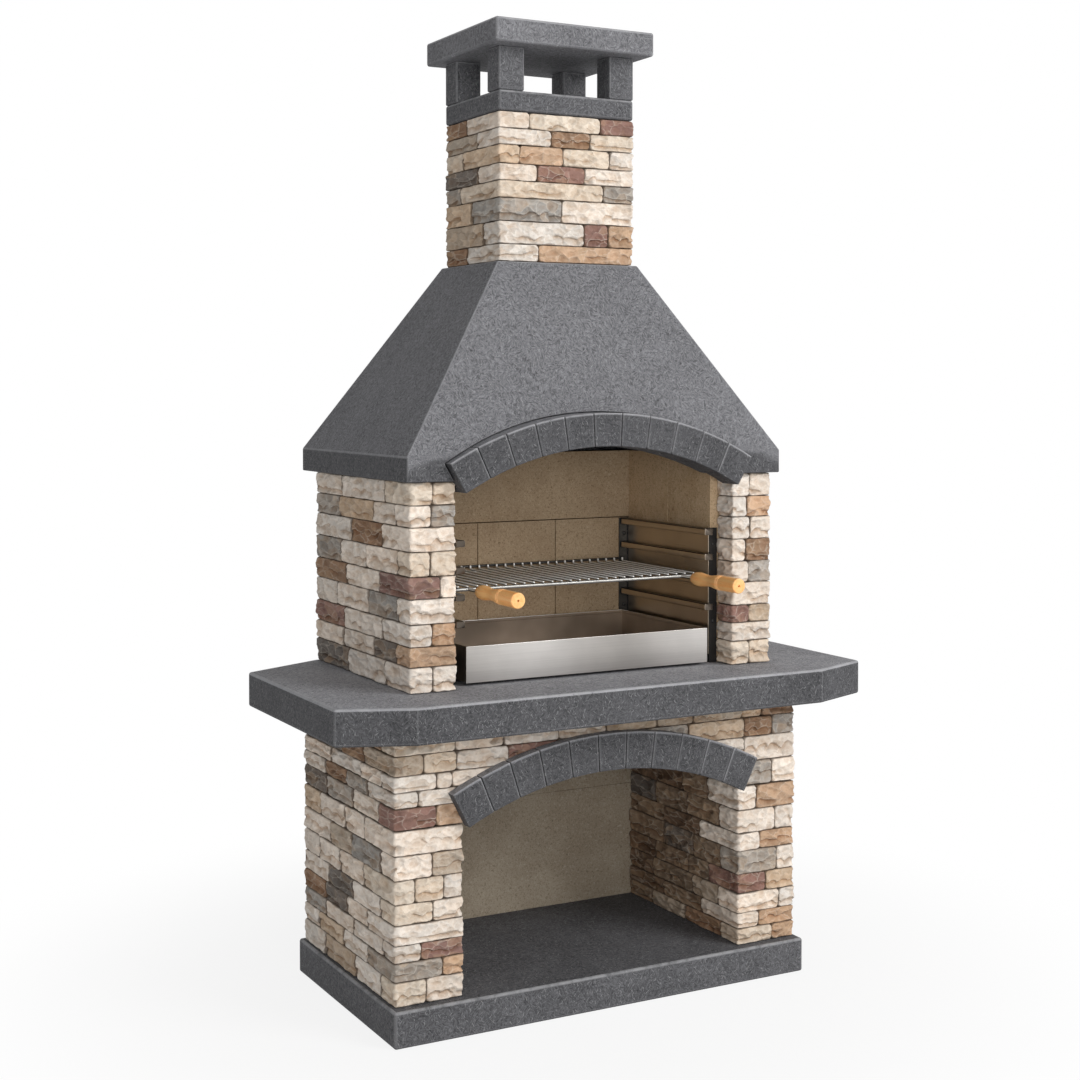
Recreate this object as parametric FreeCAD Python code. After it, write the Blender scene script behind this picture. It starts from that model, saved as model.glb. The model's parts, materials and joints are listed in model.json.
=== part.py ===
import FreeCAD
import Part
import math
import os
import random

# Stone-clad garden barbecue with a wood store, a fire box, a hood and a chimney.
# Millimetres, Z up, origin at the middle of the plinth's underside, front towards -Y.

Vector = FreeCAD.Vector
AXIS_X = Vector(1, 0, 0)
AXIS_Y = Vector(0, 1, 0)
AXIS_Z = Vector(0, 0, 1)
ORIGIN = Vector(0, 0, 0)

# Plinth
PLINTH_WIDTH = 1070.0
PLINTH_DEPTH = 575.0
PLINTH_HEIGHT = 80.0
SLAB_ARRIS = 6.0

# Base: two legs, a lintel over the wood store and a back panel
BASE_WIDTH = 1050.0
BASE_FRONT_SETBACK = 24.0
BASE_BACK_SETBACK = 12.0
LEG_WIDTH = 163.0
LEG_HEIGHT = 380.0
SHOULDER_HEIGHT = 205.0
LINTEL_DEPTH = 60.0
BACK_PANEL_THICKNESS = 45.0
BACK_PANEL_SPLIT = 292.0

# Stone cladding
VENEER = 30.0
STONE_JOINT = 3.0
SHORT_RETURN = 77.0
LONG_RETURN = 150.0
LEG_STONE = 140.0
PIER_STONE = 180.0
FRONT_STONE = 120.0
SMALLEST_CUT_STONE = 0.2
STONE_LENGTH_SPREAD = 0.3
RETURN_SPREAD = 0.15

# Worktop, an octagon with shallow corner cuts
WORKTOP_WIDTH = 1362.0
WORKTOP_THICKNESS = 80.0
WORKTOP_FRONT_OVERHANG = 114.5
WORKTOP_BACK_OVERHANG = 50.0
FRONT_CUT_ALONG = 160.0
FRONT_CUT_DEEP = 65.0
REAR_CUT_ALONG = 206.0
REAR_CUT_DEEP = 103.0

# Fire box
FIREBOX_WIDTH = 950.0
FIREBOX_HEIGHT = 459.0
FIREBOX_FRONT_SETBACK = 30.0
FIREBOX_BACK_SETBACK = 5.0
PIER_WIDTH = 111.0
PIER_RETURN = 67.0
BACK_WALL_THICKNESS = 70.0
LINING_STEP = 19.0
REAR_LINING_THICKNESS = 40.0
LINING_COURSE = 327.0
LINING_RISE = 40.0
LINING_CENTRE_WIDTH = 220.0
LINING_CENTRE_OFFSET = 18.0
LINING_JOINT = 2.0

# Hood, hollow, with sloping sides above a plain band
HOOD_SIDE_OVERHANG = 13.0
HOOD_FRONT_OVERHANG = 17.0
HOOD_BACK_OVERHANG = 57.0
HOOD_HEIGHT = 494.0
HOOD_BAND = 54.0
HOOD_SEAT = 50.0
HOOD_TOP_LEDGE = 7.0

# Arches
ARCH_STONES = 11
ARCH_JOINT = 2.0
HOOD_ARCH_SPAN = 714.0
HOOD_ARCH_RISE = 97.0
HOOD_ARCH_RING = 76.0
HOOD_ARCH_DEPTH = 67.0
HOOD_ARCH_PROUD = 20.0
HOOD_ARCH_DROP = 27.0
STORE_ARCH_SPAN = 722.0
STORE_ARCH_RISE = 88.0
STORE_ARCH_RING = 85.0
STORE_ARCH_THICKNESS = 28.0
STORE_ARCH_DROP = 5.0

# Chimney
CHIMNEY_WIDTH = 360.0
CHIMNEY_DEPTH = 288.0
CHIMNEY_HEIGHT = 346.0
CHIMNEY_VENEER = 25.0
FLUE_WIDTH = 230.0
FLUE_DEPTH = 160.0
FLUE_BLOCK_SPLIT = 173.0
BACK_SEAM_WANDER = 40.0
SHORT_BACK_RETURN = 60.0
LONG_BACK_RETURN = 105.0
COLLAR_HEIGHT = 48.0
POST_WIDTH = 66.0
POST_DEPTH = 62.0
POST_HEIGHT = 100.0
CAP_WIDTH = 420.0
CAP_DEPTH = 378.0
CAP_THICKNESS = 56.0

# Rack that carries the grate at one of several heights
UPRIGHT_LEG = 30.0
UPRIGHT_THICKNESS = 3.0
UPRIGHT_HEIGHT = 325.0
UPRIGHT_PIER_GAP = 1.0
PANEL_THICKNESS = 1.5
PANEL_FOOT = 20.0
PANEL_END_GAP = 3.0
RUNNER_COUNT = 4
RUNNER_FIRST = 144.0
RUNNER_PITCH = 60.0
RUNNER_REACH = 22.0
RUNNER_HEIGHT = 15.0
RUNNER_SHEET = 1.5
RUNNER_NOSE = 3.0
RUNNER_FRONT_OVERHANG = 16.0
RUNNER_REAR_GAP = 4.0
CROSS_BAR_WIDTH = 25.0
CROSS_BAR_THICKNESS = 6.0
CROSS_BAR_INSET = 10.0
SCREW_SHANK = 6.0
SCREW_LENGTH = 30.0
SCREW_HEAD = 10.0
SCREW_HEAD_HEIGHT = 3.0
SCREW_CLEARANCE = 0.3
SCREW_LOW = 100.0
SCREW_HIGH = 285.0

# Ember tray
TRAY_WIDTH = 640.0
TRAY_HEIGHT = 82.0
TRAY_FRONT_STEP = 24.0
TRAY_REAR_GAP = 10.0
TRAY_SHEET = 2.0
TRAY_HEM = 4.0
TRAY_HEM_HEIGHT = 8.0
SLIDE_GAP = 0.3

# Cooking grate
GRATE_LEVEL = 1
GRATE_SIDE_GAP = 10.5
GRATE_DEPTH = 330.0
GRATE_REAR_GAP = 20.0
GRATE_CORNER = 18.0
FRAME_ROD = 8.0
WIRE_ROD = 5.0
WIRE_COUNT = 27
WIRE_EDGE_GAP = 11.0
WIRE_NOSE = 6.0
LIP_BEND = 6.0
LIP_HEIGHT = 3.5
RAIL_ROD = 6.0
WELD_GAP = 0.05
HANDLE_SPACING = 570.0
HANDLE_START = 50.0
HANDLE_LENGTH = 190.0
HANDLE_DIAMETER = 35.0
HANDLE_NECK = 16.0
HANDLE_NOSE = 28.0
HANDLE_NOSE_AT = 7.0
HANDLE_BULB = 33.0
HANDLE_BULB_AT = 28.0
HANDLE_WAIST = 26.0
HANDLE_WAIST_AT = 69.0
HANDLE_SHOULDER_AT = 114.0
HANDLE_END_ROUND = 3.0
HANDLE_GROOVES = 2
HANDLE_GROOVE = 1.2
HANDLE_GROOVE_PITCH = 7.0
TANG_ROD = 5.0
TANG_CLEARANCE = 0.2

# Course heights from the bottom up, as proportions of the wall they fill
LEFT_LEG_COURSES = (54, 41, 38, 43, 45, 52, 52, 55)
RIGHT_LEG_COURSES = (39, 37, 47, 46, 56, 42, 55, 58)
LEFT_SHOULDER_COURSES = (47, 35, 35, 43, 45)
RIGHT_SHOULDER_COURSES = (58, 59, 46, 42)
LEFT_PIER_COURSES = (57, 44, 49, 55, 48, 54, 53, 48, 51)
RIGHT_PIER_COURSES = (57, 44, 42, 54, 51, 53, 53, 49, 56)
CHIMNEY_COURSES = (41, 53, 53, 40, 39, 43, 38, 39)

# Upright joints across each visible front, course by course, as shares of its width from the left
LEFT_LEG_FRONT = ((0.46,), (0.70,), (0.39,), (), (0.56,), (0.30, 0.72), (0.55,), ())
RIGHT_LEG_FRONT = ((0.61,), (0.38,), (0.73,), (0.50,), (0.69,), (0.39,), (0.66,), (0.33,))
LEFT_PIER_FRONT = ((0.50,), (), (0.49,), (), (0.66,), (0.45,), (), (0.47,), (0.50,))
RIGHT_PIER_FRONT = ((0.44,), (), (0.44,), (), (0.42,), (0.35,), (0.47,), (0.38,), (0.44,))
CHIMNEY_FRONT = (
    (0.29,),
    (0.63, 0.81),
    (0.46,),
    (0.77,),
    (0.28, 0.63),
    (0.15, 0.47, 0.82),
    (0.38, 0.67),
    (0.22, 0.75),
)

# One joint on each chimney side, as a share of the side from the back
CHIMNEY_SIDE = (0.41, 0.70, 0.50, 0.30, 0.62, 0.34, 0.60, 0.40)

# First joints of the shoulder courses, as distances from the outer front corner
LEFT_SHOULDER_FRONT = ((99, 168), (57, 150), (100, 137), (70, 149), (146,))
RIGHT_SHOULDER_FRONT = ((66, 146), (146,), (64, 146), (94, 151))

# Seeds of the chance lengths, one for each wall
LEFT_LEG_SEED = 11
RIGHT_LEG_SEED = 12
LEFT_SHOULDER_SEED = 13
RIGHT_SHOULDER_SEED = 14
LEFT_INNER_SEED = 15
RIGHT_INNER_SEED = 16
LEFT_PIER_SEED = 21
RIGHT_PIER_SEED = 22
CHIMNEY_SEED = 41

# Heights of the main levels
base_z = PLINTH_HEIGHT
leg_top = base_z + LEG_HEIGHT
worktop_under = leg_top + SHOULDER_HEIGHT
worktop_top = worktop_under + WORKTOP_THICKNESS
hood_z = worktop_top + FIREBOX_HEIGHT
band_top = hood_z + HOOD_BAND
hood_top = hood_z + HOOD_HEIGHT
collar_z = hood_top + CHIMNEY_HEIGHT
post_z = collar_z + COLLAR_HEIGHT
cap_z = post_z + POST_HEIGHT

# Plan lines of the base
base_x = BASE_WIDTH / 2
leg_inner_x = base_x - LEG_WIDTH
base_front = -PLINTH_DEPTH / 2 + BASE_FRONT_SETBACK
base_back = PLINTH_DEPTH / 2 - BASE_BACK_SETBACK
leg_core_outer = base_x - VENEER
leg_core_inner = leg_inner_x + VENEER
leg_core_front = base_front + VENEER
panel_front = base_back - BACK_PANEL_THICKNESS
lintel_back = leg_core_front + LINTEL_DEPTH

# Plan lines of the worktop and the fire box
worktop_x = WORKTOP_WIDTH / 2
worktop_front = base_front - WORKTOP_FRONT_OVERHANG
worktop_back = base_back + WORKTOP_BACK_OVERHANG
firebox_x = FIREBOX_WIDTH / 2
firebox_front = base_front + FIREBOX_FRONT_SETBACK
firebox_back = worktop_back - FIREBOX_BACK_SETBACK
pier_inner_x = firebox_x - PIER_WIDTH
pier_core_outer = firebox_x - VENEER
pier_core_inner = pier_inner_x + VENEER
return_back = firebox_front + PIER_RETURN
lining_x = pier_inner_x - LINING_STEP
back_wall_front = firebox_back - BACK_WALL_THICKNESS
lining_back = back_wall_front - REAR_LINING_THICKNESS
lining_top = hood_z + LINING_RISE

# Plan lines of the hood and the chimney
hood_x = firebox_x + HOOD_SIDE_OVERHANG
hood_front = firebox_front - HOOD_FRONT_OVERHANG
hood_back = firebox_back + HOOD_BACK_OVERHANG
chimney_y = (hood_front + hood_back) / 2
chimney_x = CHIMNEY_WIDTH / 2
chimney_front = chimney_y - CHIMNEY_DEPTH / 2
chimney_back = chimney_y + CHIMNEY_DEPTH / 2

# Places of the rack, the tray and the grate
upright_x = lining_x - UPRIGHT_THICKNESS
panel_x = upright_x - PANEL_THICKNESS
upright_front = return_back - UPRIGHT_THICKNESS
upright_rear = lining_back - UPRIGHT_THICKNESS
front_screw_x = -(upright_x + pier_inner_x - UPRIGHT_PIER_GAP) / 2
rear_screw_x = -(lining_x - UPRIGHT_LEG / 2)
tray_z = worktop_top + CROSS_BAR_THICKNESS + SLIDE_GAP
tray_front = upright_front - TRAY_FRONT_STEP
tray_back = lining_back - TRAY_REAR_GAP
runner_top = worktop_top + RUNNER_FIRST + GRATE_LEVEL * RUNNER_PITCH
frame_x = panel_x - GRATE_SIDE_GAP - FRAME_ROD / 2
frame_z = runner_top + SLIDE_GAP + FRAME_ROD / 2
frame_back = lining_back - GRATE_REAR_GAP - FRAME_ROD / 2
frame_front = frame_back - GRATE_DEPTH + FRAME_ROD
wire_z = frame_z + FRAME_ROD / 2 + WELD_GAP + WIRE_ROD / 2
handle_x = HANDLE_SPACING / 2
handle_back = frame_front - HANDLE_START


def box(x0, x1, y0, y1, z0, z1):
    """A plain block between two corners."""
    return Part.makeBox(x1 - x0, y1 - y0, z1 - z0, Vector(x0, y0, z0))


def prism(points, z0, z1):
    """An upright block over a plan outline."""
    corners = [Vector(x, y, z0) for x, y in points]
    outline = Part.makePolygon(corners + corners[:1])
    return Part.Face(outline).extrude(Vector(0, 0, z1 - z0))


def slab(points, z0, z1):
    """A cast slab over a plan outline, with every edge eased."""
    solid = prism(points, z0, z1)
    return solid.makeFillet(SLAB_ARRIS, solid.Edges)


def rectangle(x0, x1, y0, y1):
    """The plan outline of a rectangle."""
    return [(x0, y0), (x1, y0), (x1, y1), (x0, y1)]


def mirrored(solid):
    """The same piece on the other side of the barbecue."""
    return solid.mirror(ORIGIN, AXIS_X)


def save(name, *solids):
    """Write one named piece, or one group of like pieces."""
    shape = solids[0] if len(solids) == 1 else Part.makeCompound(list(solids))
    shape.exportStep(os.path.join("parts", name + ".step"))


def save_pair(name, left):
    """Write a piece of the left side and its mirror image on the right."""
    solids = left if isinstance(left, list) else [left]
    save("left_" + name, *solids)
    save("right_" + name, *[mirrored(solid) for solid in solids])


# Stone cladding: a wall is a plan path with its inside on the left, and a stone is one stretch of it
def point_at(path, distance):
    """The point at a distance along a plan path."""
    for start, end in zip(path, path[1:]):
        length = math.dist(start, end)
        if distance <= length:
            share = distance / length
            return (start[0] + (end[0] - start[0]) * share, start[1] + (end[1] - start[1]) * share)
        distance -= length
    return path[-1]


def corner_distances(path):
    """How far along a plan path each of its points lies."""
    distances = [0.0]
    for start, end in zip(path, path[1:]):
        distances.append(distances[-1] + math.dist(start, end))
    return distances


def inward(start, end, depth):
    """The step from a path's stretch to the inside of its wall."""
    length = math.dist(start, end)
    return (-(end[1] - start[1]) / length * depth, (end[0] - start[0]) / length * depth)


def without_spare_points(points):
    """An outline with no doubled points and none in line with its neighbours."""
    kept = []
    count = len(points)
    for i, point in enumerate(points):
        before = points[i - 1]
        after = points[(i + 1) % count]
        first = (point[0] - before[0], point[1] - before[1])
        second = (after[0] - point[0], after[1] - point[1])
        if abs(first[0] * second[1] - first[1] * second[0]) > 1e-6:
            kept.append(point)
    return kept


def stone(path, start, stop, low, high, depth):
    """One cladding stone, which turns any corner that lies inside its stretch."""
    corners = zip(path, corner_distances(path))
    turns = [point for point, distance in corners if start < distance < stop]
    face = [point_at(path, start)] + turns + [point_at(path, stop)]
    steps = [inward(a, b, depth) for a, b in zip(face, face[1:])]
    back = []
    for i, point in enumerate(face):
        x, y = point
        beside = steps[max(i - 1, 0):i + 1]
        back.append((x + sum(step[0] for step in beside), y + sum(step[1] for step in beside)))
    return prism(without_spare_points(face + back[::-1]), low, high)


def course_levels(shares, bottom, height):
    """The lower and upper level of each course of a wall."""
    levels = [bottom]
    for share in shares:
        levels.append(levels[-1] + height * share / sum(shares))
    return list(zip(levels, levels[1:]))


def course(path, joints, level, depth):
    """The stones of one course, between its upright joints."""
    total = corner_distances(path)[-1]
    cuts = [0.0] + sorted(joints) + [total]
    half = STONE_JOINT / 2
    low, high = level
    return [stone(path, a + half, b - half, low + half, high - half, depth) for a, b in zip(cuts, cuts[1:])]


def split_run(length, first, stone_length, chance):
    """Joints along a run, from the end of the stone that turns its corner to the run's far end."""
    rest = length - first
    count = max(1, round(rest / stone_length))
    weights = [chance.uniform(1 - STONE_LENGTH_SPREAD, 1 + STONE_LENGTH_SPREAD) for _ in range(count)]
    joints = [first]
    for weight in weights[:-1]:
        joints.append(joints[-1] + rest * weight / sum(weights))
    return joints


def corner_return(index, chance):
    """How far a corner stone runs round its corner: long and short by turns."""
    usual = LONG_RETURN if index % 2 else SHORT_RETURN
    return usual * chance.uniform(1 - RETURN_SPREAD, 1 + RETURN_SPREAD)


def leg_stones(path, shares, fronts, seed):
    """The courses of a leg, round three sides of it."""
    chance = random.Random(seed)
    _, corner_a, corner_b, total = corner_distances(path)
    stones = []
    for i, level in enumerate(course_levels(shares, base_z, LEG_HEIGHT)):
        first = split_run(corner_a, corner_return(i, chance), LEG_STONE, chance)
        last = split_run(total - corner_b, corner_return(i + 1, chance), LEG_STONE, chance)
        joints = [corner_a - joint for joint in first]
        joints += [corner_a + share * (corner_b - corner_a) for share in fronts[i]]
        joints += [corner_b + joint for joint in last]
        stones += course(path, joints, level, VENEER)
    return stones


def shoulder_stones(path, shares, fronts, front_first, seed):
    """The courses beside and above the store's arch, from its crown round one side."""
    chance = random.Random(seed)
    _, corner, total = corner_distances(path)
    front_length, side_length = (corner, total - corner) if front_first else (total - corner, corner)
    stones = []
    for i, level in enumerate(course_levels(shares, leg_top, SHOULDER_HEIGHT)):
        given = list(fronts[i])
        front = given[:-1] + split_run(front_length, given[-1], FRONT_STONE, chance)
        side = split_run(side_length, corner_return(i, chance), LEG_STONE, chance)
        before, after = (front, side) if front_first else (side, front)
        joints = [corner - joint for joint in before] + [corner + joint for joint in after]
        stones += course(path, joints, level, VENEER)
    return stones


def inner_stones(path, shares, seed):
    """The courses of a leg's inner face behind the lintel."""
    chance = random.Random(seed)
    total = corner_distances(path)[-1]
    stones = []
    for i, level in enumerate(course_levels(shares, leg_top, SHOULDER_HEIGHT)):
        joints = split_run(total, corner_return(i, chance), LEG_STONE, chance)
        stones += course(path, joints, level, VENEER)
    return stones


def pier_stones(path, shares, fronts, side_first, seed):
    """The courses of a fire box pier: its long side, its front and the short return inside."""
    chance = random.Random(seed)
    _, corner_a, corner_b, total = corner_distances(path)
    stones = []
    for i, level in enumerate(course_levels(shares, worktop_top, FIREBOX_HEIGHT)):
        side_length = corner_a if side_first else total - corner_b
        side = split_run(side_length, corner_return(i + 1, chance), PIER_STONE, chance)
        joints = [corner_a - joint if side_first else corner_b + joint for joint in side]
        joints += [corner_a + share * (corner_b - corner_a) for share in fronts[i]]
        stones += course(path, joints, level, VENEER)
    return stones


def chimney_stones():
    """The courses of the chimney, each one right round it from a joint in the back."""
    chance = random.Random(CHIMNEY_SEED)
    stones = []
    for i, level in enumerate(course_levels(CHIMNEY_COURSES, hood_top, CHIMNEY_HEIGHT)):
        seam_x = chance.uniform(-BACK_SEAM_WANDER, BACK_SEAM_WANDER)
        path = [
            (seam_x, chimney_back),
            (-chimney_x, chimney_back),
            (-chimney_x, chimney_front),
            (chimney_x, chimney_front),
            (chimney_x, chimney_back),
            (seam_x, chimney_back),
        ]
        _, left_back, left_front, _, right_back, _ = corner_distances(path)
        joints = [left_back + CHIMNEY_SIDE[i] * CHIMNEY_DEPTH]
        joints += [left_front + share * CHIMNEY_WIDTH for share in CHIMNEY_FRONT[i]]
        joints += [right_back - CHIMNEY_SIDE[-1 - i] * CHIMNEY_DEPTH]
        near, far = (SHORT_BACK_RETURN, LONG_BACK_RETURN) if i % 2 else (LONG_BACK_RETURN, SHORT_BACK_RETURN)
        joints += [left_back - near, right_back + far]
        stones += course(path, joints, level, CHIMNEY_VENEER)
    return stones


# Arches
def arch_radius(span, rise):
    """The radius of an arch's underside."""
    return (span * span / 4 + rise * rise) / (2 * rise)


def arch_point(radius, angle, y, centre_z):
    """A point of an arch, with the angle measured from its crown."""
    return Vector(radius * math.sin(angle), y, centre_z + radius * math.cos(angle))


def arch_sector(inner, outer, a0, a1, y0, y1, centre_z):
    """A block of an arch between two radial cuts."""
    middle = (a0 + a1) / 2
    low = [arch_point(inner, angle, y0, centre_z) for angle in (a0, middle, a1)]
    high = [arch_point(outer, angle, y0, centre_z) for angle in (a0, middle, a1)]
    edges = [
        Part.Arc(*low).toShape(),
        Part.LineSegment(low[2], high[2]).toShape(),
        Part.Arc(*high[::-1]).toShape(),
        Part.LineSegment(high[0], low[0]).toShape(),
    ]
    return Part.Face(Part.Wire(edges)).extrude(Vector(0, y1 - y0, 0))


def voussoirs(span, rise, ring, y0, y1, springing_z):
    """The wedge stones of an arch, with open joints between them."""
    radius = arch_radius(span, rise)
    centre_z = springing_z + rise - radius
    half_angle = math.asin(span / 2 / radius)
    step = 2 * half_angle / ARCH_STONES
    gap = ARCH_JOINT / (radius + ring / 2)
    stones = []
    for i in range(ARCH_STONES):
        start = -half_angle + i * step
        stones.append(
            arch_sector(radius, radius + ring, start + gap / 2, start + step - gap / 2, y0, y1, centre_z)
        )
    return stones


def arch_void(span, rise, springing_z, y0, y1, margin):
    """The round space under an arch, as a cylinder along its depth."""
    radius = arch_radius(span, rise)
    centre = Vector(0, y0, springing_z + rise - radius)
    return Part.makeCylinder(radius + margin, y1 - y0, centre, AXIS_Y)


# Plinth, legs, panels and lintel
def make_base():
    half = PLINTH_DEPTH / 2
    plinth_x = PLINTH_WIDTH / 2
    save("base_plinth", slab(rectangle(-plinth_x, plinth_x, -half, half), 0, PLINTH_HEIGHT))
    core = box(-leg_core_outer, -leg_core_inner, leg_core_front, base_back, base_z, worktop_under)
    save_pair("leg_core", core)
    split_z = base_z + BACK_PANEL_SPLIT
    save("lower_back_panel", box(-leg_core_inner, leg_core_inner, panel_front, base_back, base_z, split_z))
    save(
        "upper_back_panel",
        box(-leg_core_inner, leg_core_inner, panel_front, base_back, split_z, worktop_under),
    )
    springing = leg_top - STORE_ARCH_DROP
    void = arch_void(STORE_ARCH_SPAN, STORE_ARCH_RISE, springing, base_front, lintel_back, ARCH_JOINT)
    beam = box(-leg_core_inner, leg_core_inner, leg_core_front, lintel_back, leg_top, worktop_under)
    save("store_lintel", beam.cut(void))
    face_y = base_front - STORE_ARCH_THICKNESS
    arch = voussoirs(STORE_ARCH_SPAN, STORE_ARCH_RISE, STORE_ARCH_RING, face_y, base_front, springing)
    save("store_arch_stones", *arch)


def cut_by_arch(stones):
    """Stones of the shoulders with the store's arch taken out of them."""
    springing = leg_top - STORE_ARCH_DROP
    void = arch_void(STORE_ARCH_SPAN, STORE_ARCH_RISE, springing, base_front, leg_core_front, ARCH_JOINT)
    kept = []
    for solid in stones:
        rest = solid.cut(void)
        if rest.Volume > SMALLEST_CUT_STONE * solid.Volume:
            kept += rest.Solids
    return kept


def make_base_stones():
    left_leg = [
        (-base_x, base_back),
        (-base_x, base_front),
        (-leg_inner_x, base_front),
        (-leg_inner_x, panel_front),
    ]
    right_leg = [(-x, y) for x, y in left_leg[::-1]]
    save("left_leg_stones", *leg_stones(left_leg, LEFT_LEG_COURSES, LEFT_LEG_FRONT, LEFT_LEG_SEED))
    save("right_leg_stones", *leg_stones(right_leg, RIGHT_LEG_COURSES, RIGHT_LEG_FRONT, RIGHT_LEG_SEED))
    left_shoulder = [(-base_x, base_back), (-base_x, base_front), (0.0, base_front)]
    right_shoulder = [(-x, y) for x, y in left_shoulder[::-1]]
    left = shoulder_stones(
        left_shoulder, LEFT_SHOULDER_COURSES, LEFT_SHOULDER_FRONT, False, LEFT_SHOULDER_SEED
    )
    right = shoulder_stones(
        right_shoulder, RIGHT_SHOULDER_COURSES, RIGHT_SHOULDER_FRONT, True, RIGHT_SHOULDER_SEED
    )
    save("left_shoulder_stones", *cut_by_arch(left))
    save("right_shoulder_stones", *cut_by_arch(right))
    left_inner = [(-leg_inner_x, lintel_back), (-leg_inner_x, panel_front)]
    right_inner = [(-x, y) for x, y in left_inner[::-1]]
    save("left_inner_stones", *inner_stones(left_inner, LEFT_SHOULDER_COURSES, LEFT_INNER_SEED))
    save("right_inner_stones", *inner_stones(right_inner, RIGHT_SHOULDER_COURSES, RIGHT_INNER_SEED))


# Worktop
def make_worktop():
    front_x = worktop_x - FRONT_CUT_ALONG
    rear_x = worktop_x - REAR_CUT_ALONG
    outline = [
        (-front_x, worktop_front),
        (front_x, worktop_front),
        (worktop_x, worktop_front + FRONT_CUT_DEEP),
        (worktop_x, worktop_back - REAR_CUT_DEEP),
        (rear_x, worktop_back),
        (-rear_x, worktop_back),
        (-worktop_x, worktop_back - REAR_CUT_DEEP),
        (-worktop_x, worktop_front + FRONT_CUT_DEEP),
    ]
    save("worktop", slab(outline, worktop_under, worktop_top))


# Fire box walls and their refractory lining
def screw_holes(x, y):
    """The holes that a rack upright and the lining behind it share, along Y."""
    radius = SCREW_SHANK / 2 + SCREW_CLEARANCE
    depth = SCREW_LENGTH + UPRIGHT_THICKNESS
    levels = (worktop_top + SCREW_LOW, worktop_top + SCREW_HIGH)
    holes = [Part.makeCylinder(radius, depth, Vector(x, y, z), AXIS_Y) for z in levels]
    return Part.makeCompound(holes)


def make_firebox():
    core_front = firebox_front + VENEER
    core = box(-pier_core_outer, -pier_core_inner, core_front, firebox_back, worktop_top, hood_z)
    save_pair("pier_core", core)
    save(
        "firebox_back_wall",
        box(-pier_core_inner, pier_core_inner, back_wall_front, firebox_back, worktop_top, hood_z),
    )
    left = [
        (-firebox_x, firebox_back),
        (-firebox_x, firebox_front),
        (-pier_inner_x, firebox_front),
        (-pier_inner_x, return_back),
    ]
    right = [(-x, y) for x, y in left[::-1]]
    left_stones = pier_stones(left, LEFT_PIER_COURSES, LEFT_PIER_FRONT, True, LEFT_PIER_SEED)
    right_stones = pier_stones(right, RIGHT_PIER_COURSES, RIGHT_PIER_FRONT, False, RIGHT_PIER_SEED)
    save("left_pier_stones", *left_stones)
    save("right_pier_stones", *right_stones)


def make_lining():
    half = LINING_JOINT / 2
    split_z = worktop_top + LINING_COURSE
    left_x = LINING_CENTRE_OFFSET - LINING_CENTRE_WIDTH / 2
    right_x = LINING_CENTRE_OFFSET + LINING_CENTRE_WIDTH / 2
    wide = pier_core_inner
    save("rear_lining_top", box(-wide, wide, lining_back, back_wall_front, split_z + half, lining_top))
    centre = box(left_x + half, right_x - half, lining_back, back_wall_front, worktop_top, split_z - half)
    save("rear_lining_centre", centre)
    left = box(-wide, left_x - half, lining_back, back_wall_front, worktop_top, split_z - half)
    save("left_rear_lining", left.cut(screw_holes(rear_screw_x, upright_rear)))
    right = box(right_x + half, wide, lining_back, back_wall_front, worktop_top, split_z - half)
    save("right_rear_lining", right.cut(screw_holes(-rear_screw_x, upright_rear)))
    middle_y = (return_back + lining_back) / 2
    front = box(-wide, -lining_x, return_back, middle_y - half, worktop_top, lining_top)
    save_pair("side_lining_front", front.cut(screw_holes(front_screw_x, upright_front)))
    rear = box(-wide, -lining_x, middle_y + half, lining_back, worktop_top, lining_top)
    save_pair("side_lining_rear", rear)


# Hood with its arch
def frustum(low, high, z0, z1):
    """A block that tapers from one plan rectangle to another."""
    wires = []
    for outline, z in ((low, z0), (high, z1)):
        corners = [Vector(x, y, z) for x, y in outline]
        wires.append(Part.makePolygon(corners + corners[:1]))
    return Part.makeLoft(wires, True, True)


def make_hood():
    outline = rectangle(-hood_x, hood_x, hood_front, hood_back)
    top_x = chimney_x + HOOD_TOP_LEDGE
    top = rectangle(-top_x, top_x, chimney_front - HOOD_TOP_LEDGE, chimney_back + HOOD_TOP_LEDGE)
    band = prism(outline, hood_z, band_top)
    shell = band.fuse(frustum(outline, top, band_top, hood_top)).removeSplitter()
    mouth_x = firebox_x - HOOD_SEAT
    mouth = rectangle(-mouth_x, mouth_x, firebox_front + HOOD_SEAT, firebox_back - HOOD_SEAT)
    flue_x = FLUE_WIDTH / 2
    flue = rectangle(-flue_x, flue_x, chimney_y - FLUE_DEPTH / 2, chimney_y + FLUE_DEPTH / 2)
    shell = shell.cut(frustum(mouth, flue, hood_z, hood_top))

    face_y = hood_front - HOOD_ARCH_PROUD
    seat_y = face_y + HOOD_ARCH_DEPTH
    springing = hood_z - HOOD_ARCH_DROP
    radius = arch_radius(HOOD_ARCH_SPAN, HOOD_ARCH_RISE)
    centre_z = springing + HOOD_ARCH_RISE - radius
    half_angle = math.asin(HOOD_ARCH_SPAN / 2 / radius) + ARCH_JOINT / radius
    outer = radius + HOOD_ARCH_RING + ARCH_JOINT
    rebate = arch_sector(radius, outer, -half_angle, half_angle, face_y, seat_y, centre_z)
    void = arch_void(HOOD_ARCH_SPAN, HOOD_ARCH_RISE, springing, face_y, chimney_front, 0)
    save("hood", shell.cut(rebate).cut(void))

    pier_face = firebox_front - ARCH_JOINT
    pier_side = pier_inner_x - ARCH_JOINT
    notch = box(-firebox_x, -pier_side, pier_face, seat_y, worktop_top, hood_z)
    arch = voussoirs(HOOD_ARCH_SPAN, HOOD_ARCH_RISE, HOOD_ARCH_RING, face_y, seat_y, springing)
    save("hood_arch_stones", *[wedge.cut(notch).cut(mirrored(notch)) for wedge in arch])


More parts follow.
